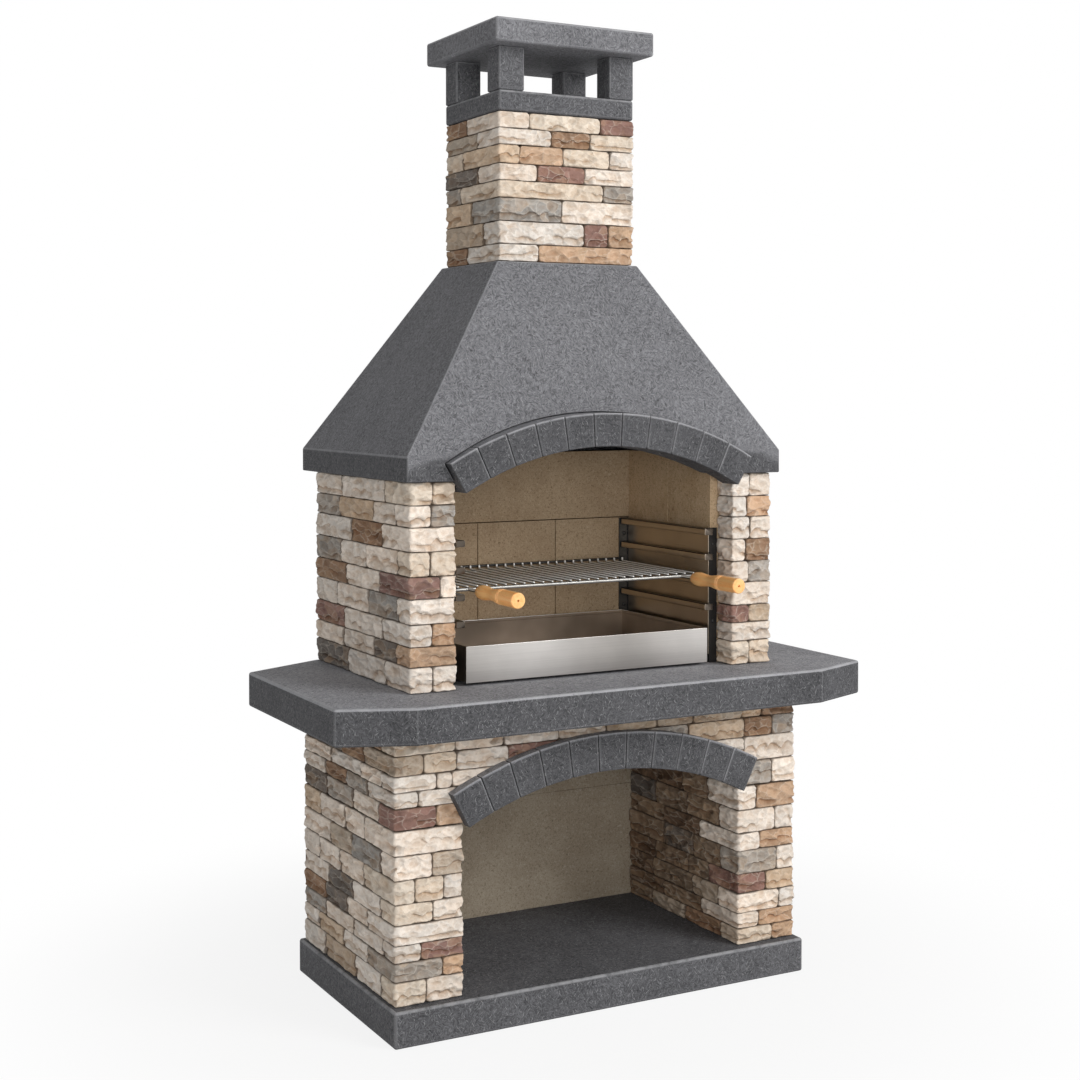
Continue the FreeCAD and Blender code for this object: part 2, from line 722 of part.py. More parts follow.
# Chimney
def make_chimney():
    flue_x = FLUE_WIDTH / 2
    flue_front = chimney_y - FLUE_DEPTH / 2
    flue_back = chimney_y + FLUE_DEPTH / 2
    flue = box(-flue_x, flue_x, flue_front, flue_back, hood_top, cap_z)
    core_x = chimney_x - CHIMNEY_VENEER
    core_front = chimney_front + CHIMNEY_VENEER
    core_back = chimney_back - CHIMNEY_VENEER
    split_z = hood_top + FLUE_BLOCK_SPLIT
    save("lower_flue_block", box(-core_x, core_x, core_front, core_back, hood_top, split_z).cut(flue))
    save("upper_flue_block", box(-core_x, core_x, core_front, core_back, split_z, collar_z).cut(flue))
    save("chimney_stones", *chimney_stones())
    outline = rectangle(-chimney_x, chimney_x, chimney_front, chimney_back)
    save("chimney_collar", slab(outline, collar_z, post_z).cut(flue))

    inner_x = chimney_x - POST_WIDTH
    front = rectangle(-chimney_x, -inner_x, chimney_front, chimney_front + POST_DEPTH)
    rear = rectangle(-chimney_x, -inner_x, chimney_back - POST_DEPTH, chimney_back)
    save_pair("front_cap_post", prism(front, post_z, cap_z))
    save_pair("rear_cap_post", prism(rear, post_z, cap_z))
    half = CAP_WIDTH / 2
    outline = rectangle(-half, half, chimney_y - CAP_DEPTH / 2, chimney_y + CAP_DEPTH / 2)
    save("chimney_cap", slab(outline, cap_z, cap_z + CAP_THICKNESS))


# Rack: angle uprights, side panels with runners, cross bars and screws
def runner(top_z):
    """A folded channel along the left panel, with its open side to the panel."""
    front = upright_front - RUNNER_FRONT_OVERHANG
    back = upright_rear - RUNNER_REAR_GAP
    low = top_z - RUNNER_HEIGHT
    nose = panel_x - RUNNER_REACH
    outer = box(-panel_x, -nose, front, back, low, top_z)
    long_edges = [
        edge
        for edge in outer.Edges
        if edge.BoundBox.XMin > -nose - RUNNER_SHEET and edge.BoundBox.YLength > RUNNER_REACH
    ]
    outer = outer.makeFillet(RUNNER_NOSE, long_edges)
    hollow = box(
        -panel_x,
        -nose - RUNNER_SHEET,
        front,
        back,
        low + RUNNER_SHEET,
        top_z - RUNNER_SHEET,
    )
    return outer.cut(hollow)


def screws(x, y):
    """The screws of one upright, with their heads on its face at this Y."""
    solids = []
    for level in (SCREW_LOW, SCREW_HIGH):
        z = worktop_top + level
        head_start = Vector(x, y - SCREW_HEAD_HEIGHT, z)
        head = Part.makeCylinder(SCREW_HEAD / 2, SCREW_HEAD_HEIGHT, head_start, AXIS_Y)
        shank = Part.makeCylinder(SCREW_SHANK / 2, SCREW_LENGTH, Vector(x, y, z), AXIS_Y)
        solids.append(head.fuse(shank).removeSplitter())
    return solids


def make_rack():
    top_z = worktop_top + UPRIGHT_HEIGHT
    outer_x = pier_inner_x - UPRIGHT_PIER_GAP
    front = box(-lining_x, -upright_x, upright_front, upright_front + UPRIGHT_LEG, worktop_top, top_z)
    front = front.fuse(box(-outer_x, -upright_x, upright_front, return_back, worktop_top, top_z))
    front = front.removeSplitter().cut(screw_holes(front_screw_x, upright_front))
    save_pair("front_upright", front)
    rear = box(-lining_x, -upright_x, lining_back - UPRIGHT_LEG, lining_back, worktop_top, top_z)
    rear = rear.fuse(box(-lining_x, UPRIGHT_LEG - lining_x, upright_rear, lining_back, worktop_top, top_z))
    rear = rear.removeSplitter().cut(screw_holes(rear_screw_x, upright_rear))
    save_pair("rear_upright", rear)

    panel = box(
        -upright_x,
        -panel_x,
        upright_front + PANEL_END_GAP,
        upright_rear - PANEL_END_GAP,
        worktop_top + PANEL_FOOT,
        top_z,
    )
    save_pair("rack_panel", panel)
    levels = [worktop_top + RUNNER_FIRST + i * RUNNER_PITCH for i in range(RUNNER_COUNT)]
    save_pair("rack_runners", [runner(level) for level in levels])

    bar_top = worktop_top + CROSS_BAR_THICKNESS
    front_y = upright_front + CROSS_BAR_INSET
    rear_y = upright_rear - CROSS_BAR_INSET - CROSS_BAR_WIDTH
    for name, y in (("front_cross_bar", front_y), ("rear_cross_bar", rear_y)):
        save(name, box(-upright_x, upright_x, y, y + CROSS_BAR_WIDTH, worktop_top, bar_top))
    left = screws(front_screw_x, upright_front) + screws(rear_screw_x, upright_rear)
    save("rack_screws", *left, *[mirrored(solid) for solid in left])


# Ember tray
def make_tray():
    half = TRAY_WIDTH / 2
    top_z = tray_z + TRAY_HEIGHT
    hem_z = top_z - TRAY_HEM_HEIGHT
    tray = box(-half, half, tray_front, tray_back, tray_z, top_z)
    for wall, low, high in ((TRAY_SHEET, tray_z + TRAY_SHEET, hem_z), (TRAY_HEM, hem_z, top_z)):
        tray = tray.cut(box(wall - half, half - wall, tray_front + wall, tray_back - wall, low, high))
    save("ember_tray", tray)


# Cooking grate
def rod(path_edges, diameter):
    """A round rod along a path of lines and tangent arcs."""
    path = Part.Wire(path_edges)
    first = path_edges[0]
    start = first.valueAt(first.FirstParameter)
    direction = first.tangentAt(first.FirstParameter)
    profile = Part.Wire(Part.makeCircle(diameter / 2, start, direction))
    return path.makePipeShell([profile], True, False)


def straight_rod(start, end, diameter):
    """A straight round rod."""
    return Part.makeCylinder(diameter / 2, (end - start).Length, start, end - start)


def frame_loop():
    """The closed frame of the grate, with round corners."""
    centre_x = frame_x - GRATE_CORNER
    centre_back = frame_back - GRATE_CORNER
    centre_front = frame_front + GRATE_CORNER
    centres = [
        (centre_x, centre_back),
        (-centre_x, centre_back),
        (-centre_x, centre_front),
        (centre_x, centre_front),
    ]
    quarter = math.pi / 2
    pieces = []
    bends = []
    for i, (x, y) in enumerate(centres):
        circle = Part.Circle(Vector(x, y, frame_z), AXIS_Z, GRATE_CORNER)
        bends.append(Part.Arc(circle, i * quarter, (i + 1) * quarter).toShape())
    for bend, following in zip(bends, bends[1:] + bends[:1]):
        end = bend.valueAt(bend.LastParameter)
        start = following.valueAt(following.FirstParameter)
        pieces += [bend, Part.LineSegment(end, start).toShape()]
    return rod(pieces[-1:] + pieces[:-1], FRAME_ROD)


def grate_wire(x):
    """A cooking wire, turned up at the back into a low lip."""
    lip_y = frame_back + LIP_BEND
    front = Vector(x, frame_front - WIRE_NOSE, wire_z)
    bend_start = Vector(x, frame_back, wire_z)
    middle = math.sqrt(0.5)
    bend_middle = Vector(x, frame_back + LIP_BEND * middle, wire_z + LIP_BEND * (1 - middle))
    bend_end = Vector(x, lip_y, wire_z + LIP_BEND)
    top = Vector(x, lip_y, wire_z + LIP_BEND + LIP_HEIGHT)
    edges = [
        Part.LineSegment(front, bend_start).toShape(),
        Part.Arc(bend_start, bend_middle, bend_end).toShape(),
        Part.LineSegment(bend_end, top).toShape(),
    ]
    return rod(edges, WIRE_ROD)


def handle():
    """The turned wooden grip of the left handle, bored for its tang."""
    full = HANDLE_DIAMETER / 2
    bore = TANG_ROD / 2 + TANG_CLEARANCE
    bulb = Part.BSplineCurve()
    bulb.interpolate(
        [
            Vector(HANDLE_NECK / 2, 0, 0),
            Vector(HANDLE_NOSE / 2, -HANDLE_NOSE_AT, 0),
            Vector(HANDLE_BULB / 2, -HANDLE_BULB_AT, 0),
            Vector(HANDLE_WAIST / 2, -HANDLE_WAIST_AT, 0),
            Vector(full, -HANDLE_SHOULDER_AT, 0),
        ]
    )
    end_y = -HANDLE_LENGTH
    round_y = end_y + HANDLE_END_ROUND
    flat = full - HANDLE_END_ROUND
    bend = HANDLE_END_ROUND * (1 - math.sqrt(0.5))
    corner = Part.Arc(
        Vector(full, round_y, 0),
        Vector(full - bend, end_y + bend, 0),
        Vector(flat, end_y, 0),
    )
    lines = [
        (Vector(full, -HANDLE_SHOULDER_AT, 0), Vector(full, round_y, 0)),
        (Vector(flat, end_y, 0), Vector(bore, end_y, 0)),
        (Vector(bore, end_y, 0), Vector(bore, 0, 0)),
        (Vector(bore, 0, 0), Vector(HANDLE_NECK / 2, 0, 0)),
    ]
    edges = [bulb.toShape(), corner.toShape()] + [Part.LineSegment(a, b).toShape() for a, b in lines]
    profile = Part.Face(Part.Wire(Part.__sortEdges__(edges)))
    grip = profile.revolve(ORIGIN, AXIS_Y, 360)
    for i in range(HANDLE_GROOVES):
        centre = Vector(0, -HANDLE_SHOULDER_AT - (i + 0.5) * HANDLE_GROOVE_PITCH, 0)
        grip = grip.cut(Part.makeTorus(full, HANDLE_GROOVE, centre, AXIS_Y))
    grip.translate(Vector(-handle_x, handle_back, frame_z))
    return grip


def handle_rod():
    """The rod welded to the left of the frame's front, with the thin tang that its handle is driven on."""
    back = Vector(-handle_x, frame_front - FRAME_ROD / 2 - WELD_GAP, frame_z)
    shoulder = Vector(-handle_x, handle_back, frame_z)
    tip = Vector(-handle_x, handle_back - HANDLE_LENGTH, frame_z)
    thick = straight_rod(back, shoulder, FRAME_ROD)
    tang = straight_rod(shoulder, tip, TANG_ROD)
    return thick.fuse(tang).removeSplitter()


def make_grate():
    save("grate_frame", frame_loop())
    reach = frame_x - WIRE_EDGE_GAP
    pitch = 2 * reach / (WIRE_COUNT - 1)
    save("grate_wires", *[grate_wire(-reach + i * pitch) for i in range(WIRE_COUNT)])
    rail_y = frame_back + LIP_BEND + WIRE_ROD / 2 + WELD_GAP + RAIL_ROD / 2
    rail_z = wire_z + LIP_BEND + LIP_HEIGHT - RAIL_ROD / 2
    end_x = reach + WIRE_ROD
    rail = straight_rod(Vector(-end_x, rail_y, rail_z), Vector(end_x, rail_y, rail_z), RAIL_ROD)
    save("grate_lip_rail", rail)
    save_pair("handle_rod", handle_rod())
    save_pair("wooden_handle", handle())


os.makedirs("parts", exist_ok=True)
make_base()
make_base_stones()
make_worktop()
make_firebox()
make_lining()
make_hood()
make_chimney()
make_rack()
make_tray()
make_grate()
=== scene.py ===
# %% [markdown]
# # A stone garden barbecue
# The construction comes ready made as a frame of plain solids, each in its real place.
# This lesson dresses it: split stone, speckled cast slabs, a sandy fire lining, steel and turned beech.
# We load the frame first, because every later piece takes its size and place from it.

# %% Load the frame
import json
import math
import random

import bmesh
import bpy
import numpy as np
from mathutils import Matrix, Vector


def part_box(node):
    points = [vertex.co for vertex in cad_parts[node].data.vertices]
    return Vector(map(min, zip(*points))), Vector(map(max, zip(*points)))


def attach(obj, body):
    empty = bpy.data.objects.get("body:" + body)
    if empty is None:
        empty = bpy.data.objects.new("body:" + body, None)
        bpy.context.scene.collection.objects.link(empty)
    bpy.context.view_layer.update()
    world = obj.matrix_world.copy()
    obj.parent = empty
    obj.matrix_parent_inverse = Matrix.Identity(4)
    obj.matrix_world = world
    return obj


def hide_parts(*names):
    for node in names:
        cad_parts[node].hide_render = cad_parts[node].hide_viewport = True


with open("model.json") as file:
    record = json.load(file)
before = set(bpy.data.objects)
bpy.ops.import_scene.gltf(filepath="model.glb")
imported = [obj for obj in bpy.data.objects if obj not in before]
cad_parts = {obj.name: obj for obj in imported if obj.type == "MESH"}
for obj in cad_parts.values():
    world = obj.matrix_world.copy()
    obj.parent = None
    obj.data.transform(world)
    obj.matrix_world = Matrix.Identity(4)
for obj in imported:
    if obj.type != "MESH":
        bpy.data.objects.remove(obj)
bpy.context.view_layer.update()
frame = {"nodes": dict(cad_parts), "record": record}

MM = 0.001
print("frame loaded:", len(frame["nodes"]), "nodes")

# %% [markdown]
# ## Camera
# The barbecue is seen from its front left corner, from the height of its hood, with upright lines upright.
# A long lens that looks almost level keeps them so, and a small downward shift brings the plinth in.

# %% Set up the camera
CAMERA_PLACE = (-2.0035, -3.6572, 1.4133)
CAMERA_HEADING = 28.352
CAMERA_DIP = 1.546
CAMERA_LENS = 58.106
CAMERA_SENSOR = 36.0
CAMERA_SHIFT = -0.10

lens = bpy.data.cameras.new("camera")
lens.sensor_width = CAMERA_SENSOR
lens.lens = CAMERA_LENS
lens.shift_y = CAMERA_SHIFT
camera = bpy.data.objects.new("camera", lens)
camera.location = CAMERA_PLACE
camera.rotation_euler = (math.radians(90 - CAMERA_DIP), 0.0, math.radians(-CAMERA_HEADING))
bpy.context.collection.objects.link(camera)
bpy.context.scene.camera = camera
bpy.context.scene.view_settings.view_transform = "Standard"
print("camera at", CAMERA_PLACE)

# %% [markdown]
# ## Sums in node trees
# Materials and Geometry Nodes trees are both made of nodes, and most of those nodes are sums.
# Linked by hand, a sum takes a line for each of its steps and is hard to read.
# So a small class stands for what a node gives, and a formula written with it adds the nodes it needs.

# %% Write sums as formulas
X, Y, Z = (1, 0, 0), (0, 1, 0), (0, 0, 1)


class Value:
    """A number, vector or colour that a node gives. A sum with it adds the node that works it out."""

    def __init__(self, node, output=0):
        self.tree = node.id_data
        self.socket = node.outputs[output]
        self.wide = self.socket.type in ("VECTOR", "RGBA")

    def __add__(self, other):
        return calc("ADD", self, other)

    def __sub__(self, other):
        return calc("SUBTRACT", self, other)

    def __rsub__(self, other):
        return calc("SUBTRACT", other, self)

    def __mul__(self, other):
        if self.wide == is_wide(other):
            return calc("MULTIPLY", self, other)
        long, factor = (self, other) if self.wide else (other, self)
        inputs = {0: long, "Scale": factor}
        return Value(add_node(self.tree, "ShaderNodeVectorMath", inputs, operation="SCALE"))

    def __truediv__(self, other):
        return calc("DIVIDE", self, other)

    def dot(self, axis):
        """How far a vector goes in a direction."""
        inputs = {0: self, 1: axis}
        return Value(add_node(self.tree, "ShaderNodeVectorMath", inputs, operation="DOT_PRODUCT"), "Value")

    __rmul__ = __mul__


def is_wide(item):
    """True for a vector or a colour, written out or given by a node."""
    return item.wide if isinstance(item, Value) else isinstance(item, tuple)


def fill(node, inputs):
    """Fills inputs of a node, by name or number, with plain values or with what other nodes give."""
    for key, value in inputs.items():
        if isinstance(value, Value):
            node.id_data.links.new(value.socket, node.inputs[key])
        else:
            node.inputs[key].default_value = value


def add_node(tree, kind, inputs=None, **settings):
    """Adds a node with its settings and inputs."""
    node = tree.nodes.new(kind)
    for name, value in settings.items():
        setattr(node, name, value)
    fill(node, inputs or {})
    return node


def calc(operation, *items):
    """One node of Math, or of Vector Math where a vector or a colour takes part."""
    tree = next(item.tree for item in items if isinstance(item, Value))
    kind = "ShaderNodeVectorMath" if any(map(is_wide, items)) else "ShaderNodeMath"
    return Value(add_node(tree, kind, dict(enumerate(items)), operation=operation))


print("axes:", X, Y, Z)

# %% [markdown]
# ## Steps that come up again
# Finishes are built from a few steps: soft noise, soft thresholds, ranges and mixed colours.
# Each has a short helper here, so that the recipes further down stay readable.

# %% Helpers for textures and colours
SCREEN_WHITE = 255
WHITE = (1, 1, 1, 1)


def between(value, low, high):
    """0 below low, 1 above high, with a soft step between them."""
    inputs = {"Value": value, "From Min": low, "From Max": high}
    return Value(add_node(value.tree, "ShaderNodeMapRange", inputs, interpolation_type="SMOOTHSTEP"))


def scaled(value, low, high):
    """A value from 0 to 1, made to go from low to high."""
    return Value(add_node(value.tree, "ShaderNodeMapRange", {"Value": value, "To Min": low, "To Max": high}))


def tint(factor, below, above, how="MIX"):
    """Two colours mixed by a factor."""
    inputs = {0: factor, 6: below, 7: above}
    return Value(add_node(factor.tree, "ShaderNodeMix", inputs, data_type="RGBA", blend_type=how), 2)


def clouds(place, scale, detail=2.0, roughness=0.5, distortion=0.0):
    """Soft noise from 0 to 1."""
    inputs = {"Vector": place, "Scale": scale, "Detail": detail, "Roughness": roughness}
    return Value(add_node(place.tree, "ShaderNodeTexNoise", {**inputs, "Distortion": distortion}))


def sway_of(place, scale, detail=2.0):
    """A vector that wanders softly from place to place, by up to a half each way."""
    inputs = {"Vector": place, "Scale": scale, "Detail": detail}
    return Value(add_node(place.tree, "ShaderNodeTexNoise", inputs), 1) - (0.5, 0.5, 0.5)


def vector(*parts):
    """A vector put together from three numbers."""
    tree = next(part.tree for part in parts if isinstance(part, Value))
    return Value(add_node(tree, "ShaderNodeCombineXYZ", dict(enumerate(parts))))


def parts_of(value):
    """The three numbers of a vector."""
    node = add_node(value.tree, "ShaderNodeSeparateXYZ", {0: value})
    return [Value(node, i) for i in range(3)]


def paint(red, green, blue):
    """A colour as it looks on a screen, 0 to 255, made linear for a shader."""
    linear = [((value / SCREEN_WHITE + 0.055) / 1.055) ** 2.4 for value in (red, green, blue)]
    return (*linear, 1.0)


def dimmed(colour, share):
    """A colour with only a share of its light, or more than it has."""
    return (*[share * value for value in colour[:3]], 1.0)


print("mid grey is", round(paint(128, 128, 128)[0], 3), "to a shader")

# %% [markdown]
# ## Stage and light
# The barbecue stands alone on white, with the light from the front right and above.
# Its left faces then get about half the light of its front ones, which shows the relief of the stone.
# A weaker lamp at the front left reaches into the fire box and the wood store.
# The world is white to the camera and in reflections, and gentler as a lamp, most of all overhead.
# The floor fades to the same white away from the barbecue, so that only the shadow beside it shows.

# %% Make the floor, the world and the lamps
HORIZON_LIGHT = 0.56
OVERHEAD_LIGHT = 0.22
FLOOR_SIZE = 40.0
FLOOR_MATT = (0.9, 0.9, 0.9, 1)
FLOOR_WHITE = 0.85
FLOOR_FADE = (0.6, 1.6)
LAMP_TARGET = (0.0, 0.0, 1.0)
KEY_PLACE = (2.6, -4.2, 3.7)
KEY_SIZE = 2.6
KEY_WATTS = 172.0
FILL_PLACE = (-1.5, -4.6, 1.5)
FILL_SIZE = 1.8
FILL_WATTS = 55.0


def seen_directly(tree):
    """1 for what the camera sees, straight or in a mirror, and 0 for the light that a surface receives."""
    path = add_node(tree, "ShaderNodeLightPath")
    mirrored = calc("MAXIMUM", Value(path, "Is Glossy Ray"), Value(path, "Is Transmission Ray"))
    return calc("MAXIMUM", Value(path, "Is Camera Ray"), mirrored)


def make_world():
    world = bpy.data.worlds.new("studio")
    world.use_nodes = True
    tree = world.node_tree
    upward = Value(add_node(tree, "ShaderNodeTexCoord"), "Generated").dot(Z)
    light = scaled(upward, HORIZON_LIGHT, OVERHEAD_LIGHT)
    strength = scaled(seen_directly(tree), light, 1.0)
    fill(tree.nodes["Background"], {"Color": WHITE, "Strength": strength})
    bpy.context.scene.world = world


def make_floor_finish():
    """Matt to the light, and white to the camera away from the barbecue and its shadow."""
    material = bpy.data.materials.new("white_floor")
    material.use_nodes = True
    tree = material.node_tree
    tree.nodes.clear()
    place = Value(add_node(tree, "ShaderNodeTexCoord"), "Object")
    away = Value(add_node(tree, "ShaderNodeVectorMath", {0: place}, operation="LENGTH"), "Value")
    share = seen_directly(tree) * scaled(between(away, *FLOOR_FADE), FLOOR_WHITE, 1.0)
    matt = Value(add_node(tree, "ShaderNodeBsdfDiffuse", {"Color": FLOOR_MATT}))
    white = Value(add_node(tree, "ShaderNodeEmission", {"Color": WHITE, "Strength": 1.0}))
    mixed = Value(add_node(tree, "ShaderNodeMixShader", {0: share, 1: matt, 2: white}))
    add_node(tree, "ShaderNodeOutputMaterial", {0: mixed})
    return material


def make_floor():
    half = FLOOR_SIZE / 2
    mesh = bpy.data.meshes.new("floor")
    corners = [(-half, -half, 0), (half, -half, 0), (half, half, 0), (-half, half, 0)]
    mesh.from_pydata(corners, [], [(0, 1, 2, 3)])
    mesh.materials.append(make_floor_finish())
    floor = bpy.data.objects.new("floor", mesh)
    bpy.context.collection.objects.link(floor)


def make_lamp(name, place, size, watts):
    data = bpy.data.lights.new(name, "AREA")
    data.size = size
    data.energy = watts
    lamp = bpy.data.objects.new(name, data)
    lamp.location = place
    lamp.rotation_euler = (Vector(LAMP_TARGET) - Vector(place)).to_track_quat("-Z", "Y").to_euler()
    bpy.context.collection.objects.link(lamp)


make_world()
make_floor()
make_lamp("key_lamp", KEY_PLACE, KEY_SIZE, KEY_WATTS)
make_lamp("fill_lamp", FILL_PLACE, FILL_SIZE, FILL_WATTS)
print("floor, world and", len(bpy.data.lights), "lamps")

# %% [markdown]
# ## Felt and fibres
# The dark slabs are cast from a charcoal paste full of short fibres.
# Scattered cells give each patch a direction, and noise stretched along it makes strokes that lie like felt.
# A few paler fibres are thin bent lines through the centres of other cells.
# Both lie flat on the surface, so the part of a direction that points out of the face is left off.

# %% Helpers for felt and fibres
FELT_CELLS = 80.0
FELT_SHUFFLE = 50.0
STROKES_ALONG = 150.0
STROKES_ACROSS = 520.0
STROKE_SIZE = 1.45
CURL_SCALE = 70.0
CURL = 0.014
FIBRE_BEND = 3.0
FIBRE_REACH = (0.42, 0.32)
FIBRE_CHANCE = (0.45, 1.0)


def new_material(name):
    """A new material, its shader, and the place on the piece that its textures follow."""
    material = bpy.data.materials.new(name)
    material.use_nodes = True
    tree = material.node_tree
    place = Value(add_node(tree, "ShaderNodeTexCoord"), "Object")
    return material, tree.nodes["Principled BSDF"], place


def attribute(tree, name, output="Fac"):
    """A number, vector or colour that the mesh carries, 0 where it has none."""
    return Value(add_node(tree, "ShaderNodeAttribute", attribute_name=name), output)


def surface_normal(tree):
    """The direction in which a surface looks."""
    return Value(add_node(tree, "ShaderNodeNewGeometry"), "Normal")


def roughen(shader, height, strength, distance):
    """Gives a shader small relief."""
    inputs = {"Height": height, "Strength": strength, "Distance": distance}
    fill(shader, {"Normal": Value(add_node(height.tree, "ShaderNodeBump", inputs))})


def flat_axes(cell):
    """Two directions on the surface: along what lies in a cell, and across it."""
    normal = surface_normal(cell.id_data)
    heading = Value(cell, "Color") - (0.5, 0.5, 0.5)
    heading = calc("NORMALIZE", heading - normal * heading.dot(normal))
    return heading, calc("CROSS_PRODUCT", normal, heading)


def felt(place):
    """Bent strokes that lie side by side, in another direction in each cell, from 0 to 1."""
    place = (place + sway_of(place, CURL_SCALE) * CURL) * (1 / STROKE_SIZE)
    cell = add_node(place.tree, "ShaderNodeTexVoronoi", {"Vector": place, "Scale": FELT_CELLS})
    ahead, across = flat_axes(cell)
    shuffled = Value(cell, "Color").dot(Z) * FELT_SHUFFLE
    strokes = vector(place.dot(ahead) * STROKES_ALONG, place.dot(across) * STROKES_ACROSS, shuffled)
    return clouds(strokes, 1.0)


def fibres(place, scale, thickness):
    """Short bent fibres, one in most cells."""
    cell = add_node(place.tree, "ShaderNodeTexVoronoi", {"Vector": place, "Scale": scale})
    ahead, across = flat_axes(cell)
    chance = Value(cell, "Color")
    offset = (place - Value(cell, "Position")) * scale
    reach = offset.dot(ahead)
    bow = reach * reach * ((chance.dot(Y) - 0.5) * FIBRE_BEND)
    thin = between(calc("ABSOLUTE", offset.dot(across) + bow), thickness, thickness / 2)
    short = between(calc("ABSOLUTE", reach), *FIBRE_REACH)
    return thin * short * between(chance.dot(Z), *FIBRE_CHANCE)


print("felt of", FELT_CELLS, "cells a metre, strokes", STROKE_SIZE, "times as large")

# %% [markdown]
# ## Cast stone
# A cast slab is painted lighter on its upper faces, a painted light, and its felt is mixed with soft clouds
# and fine sand.
# All slabs share one recipe, but shade and wear differ a little from piece to piece: the shade is painted
# light, lighter or darker as light falls on that piece.
# The narrow faces of eased edges carry an attribute named edge, and wear makes the upper ones paler, partly
# as wear and partly as a painted highlight.

# %% Make the cast stone finishes
CAST_DARK = paint(60, 60, 62)
CAST_LIGHT = paint(113, 113, 116)
CAST_FIBRE = paint(196, 196, 197)
CAST_PIT = paint(40, 40, 42)
CAST_WEAR_AND_HIGHLIGHT = paint(184, 184, 186)
CAST_MOTTLE = {"scale": 6.0, "detail": 6.0, "roughness": 0.65, "distortion": 0.4}
CAST_SAND = {"scale": 330.0, "detail": 3.0, "roughness": 0.75}
SAND_SHARE = 0.22
FELT_STEP = 0.1
LIT_TOP_SLOPE = (0.05, 0.25)
PIT_SCALE = 150.0
PIT_STEP = (0.34, 0.26)
PIT_SHARE = 0.6
WIDE_FIBRES = (85.0, 0.058)
NARROW_FIBRES = (150.0, 0.085)
NARROW_SHIFT = (3.1, 1.7, 2.3)
NARROW_SHARE = 0.7
RUBBING = {"scale": 30.0, "detail": 5.0, "roughness": 0.7}
RUB_STEP = (0.28, 0.60)
WORN_ALL, WORN_RUBBED = 0.10, 0.45
LIT_EDGE_SLOPE = (-0.45, 0.65)
CAST_ROUGHNESS = (0.62, 0.82)
FIBRE_RELIEF = 0.3


def make_cast_stone(name, fibre_share, contrast, shade=1.0, top=1.0, wear=1.0, mottled=0.22):
    """Contrast is that of the felt, and mottled the share of soft clouds in it.

    Shade is painted light over the whole stone, top is painted light on its upper faces, and wear pales its
    upper edges, partly as wear and partly as a painted highlight.
    """
    material, shader, place = new_material(name)
    mixed = clouds(place, **CAST_MOTTLE) * mottled
    mixed = mixed + felt(place) * (1 - SAND_SHARE - mottled)
    mixed = mixed + clouds(place, **CAST_SAND) * SAND_SHARE
    step = FELT_STEP / contrast
    light = between(mixed, 0.5 - step, 0.5 + step)
    # painted light: shade makes this copy lighter or darker, as light falls on its piece
    colour = tint(light, dimmed(CAST_DARK, shade), dimmed(CAST_LIGHT, shade))
    slope = surface_normal(place.tree).dot(Z)
    # painted light: faces that look upward are made lighter by the factor top
    colour = colour * scaled(between(slope, *LIT_TOP_SLOPE), 1.0, top)
    pits = between(clouds(place, PIT_SCALE), *PIT_STEP)
    colour = tint(pits * PIT_SHARE, colour, CAST_PIT)
    narrow = fibres(place + NARROW_SHIFT, *NARROW_FIBRES)
    fibre = calc("MAXIMUM", fibres(place, *WIDE_FIBRES), narrow * NARROW_SHARE)
    colour = tint(fibre * fibre_share, colour, CAST_FIBRE)
    # Upper eased edges are paler: partly wear, rubbed in patches, and partly a painted highlight where light
    # catches them.
    rubbed = between(clouds(place, **RUBBING), *RUB_STEP)
    worn = rubbed * (WORN_RUBBED * wear) + WORN_ALL * wear
    lit_upper_edge = attribute(place.tree, "edge") * between(slope, *LIT_EDGE_SLOPE)
    colour = tint(lit_upper_edge * worn, colour, CAST_WEAR_AND_HIGHLIGHT)
    roughness = scaled(mixed, *CAST_ROUGHNESS)
    fill(shader, {"Base Color": colour, "Roughness": roughness, "Specular IOR Level": 0.15})
    roughen(shader, mixed + fibre * FIBRE_RELIEF - pits, strength=0.40, distance=0.9 * MM)
    return material


# The shade and top of these copies are painted light, set for how light falls on each piece.
cast_stone = make_cast_stone("cast_stone", 0.42, 0.52)
worktop_stone = make_cast_stone("worktop_stone", 0.42, 0.52, shade=0.78, top=3.4)
cap_stone = make_cast_stone("cap_stone", 0.42, 0.52, shade=1.62, top=1.4)
hood_stone = make_cast_stone("hood_stone", 0.34, 0.5, shade=0.79, top=2.0, wear=0.6, mottled=0.15)
arch_stone = make_cast_stone("arch_stone", 0.36, 0.52, shade=0.74, top=3.0, wear=1.2)
print("cast stone of", len(cast_stone.node_tree.nodes), "nodes")

# %% [markdown]
# ## How split stone breaks
# A hammer breaks stone in shells, shallow bowls that meet in thin ridges, and each shell in smaller chips.
# About half way down, the face ends in a wavy ledge of scallops, steep under its lip and filling out below.
# Faces to the left and right are split along the bed, where shells are longer, so they are stretched along Y.
# The mesh is pushed by this pattern and the finish is painted by it, so both trees use the same functions.

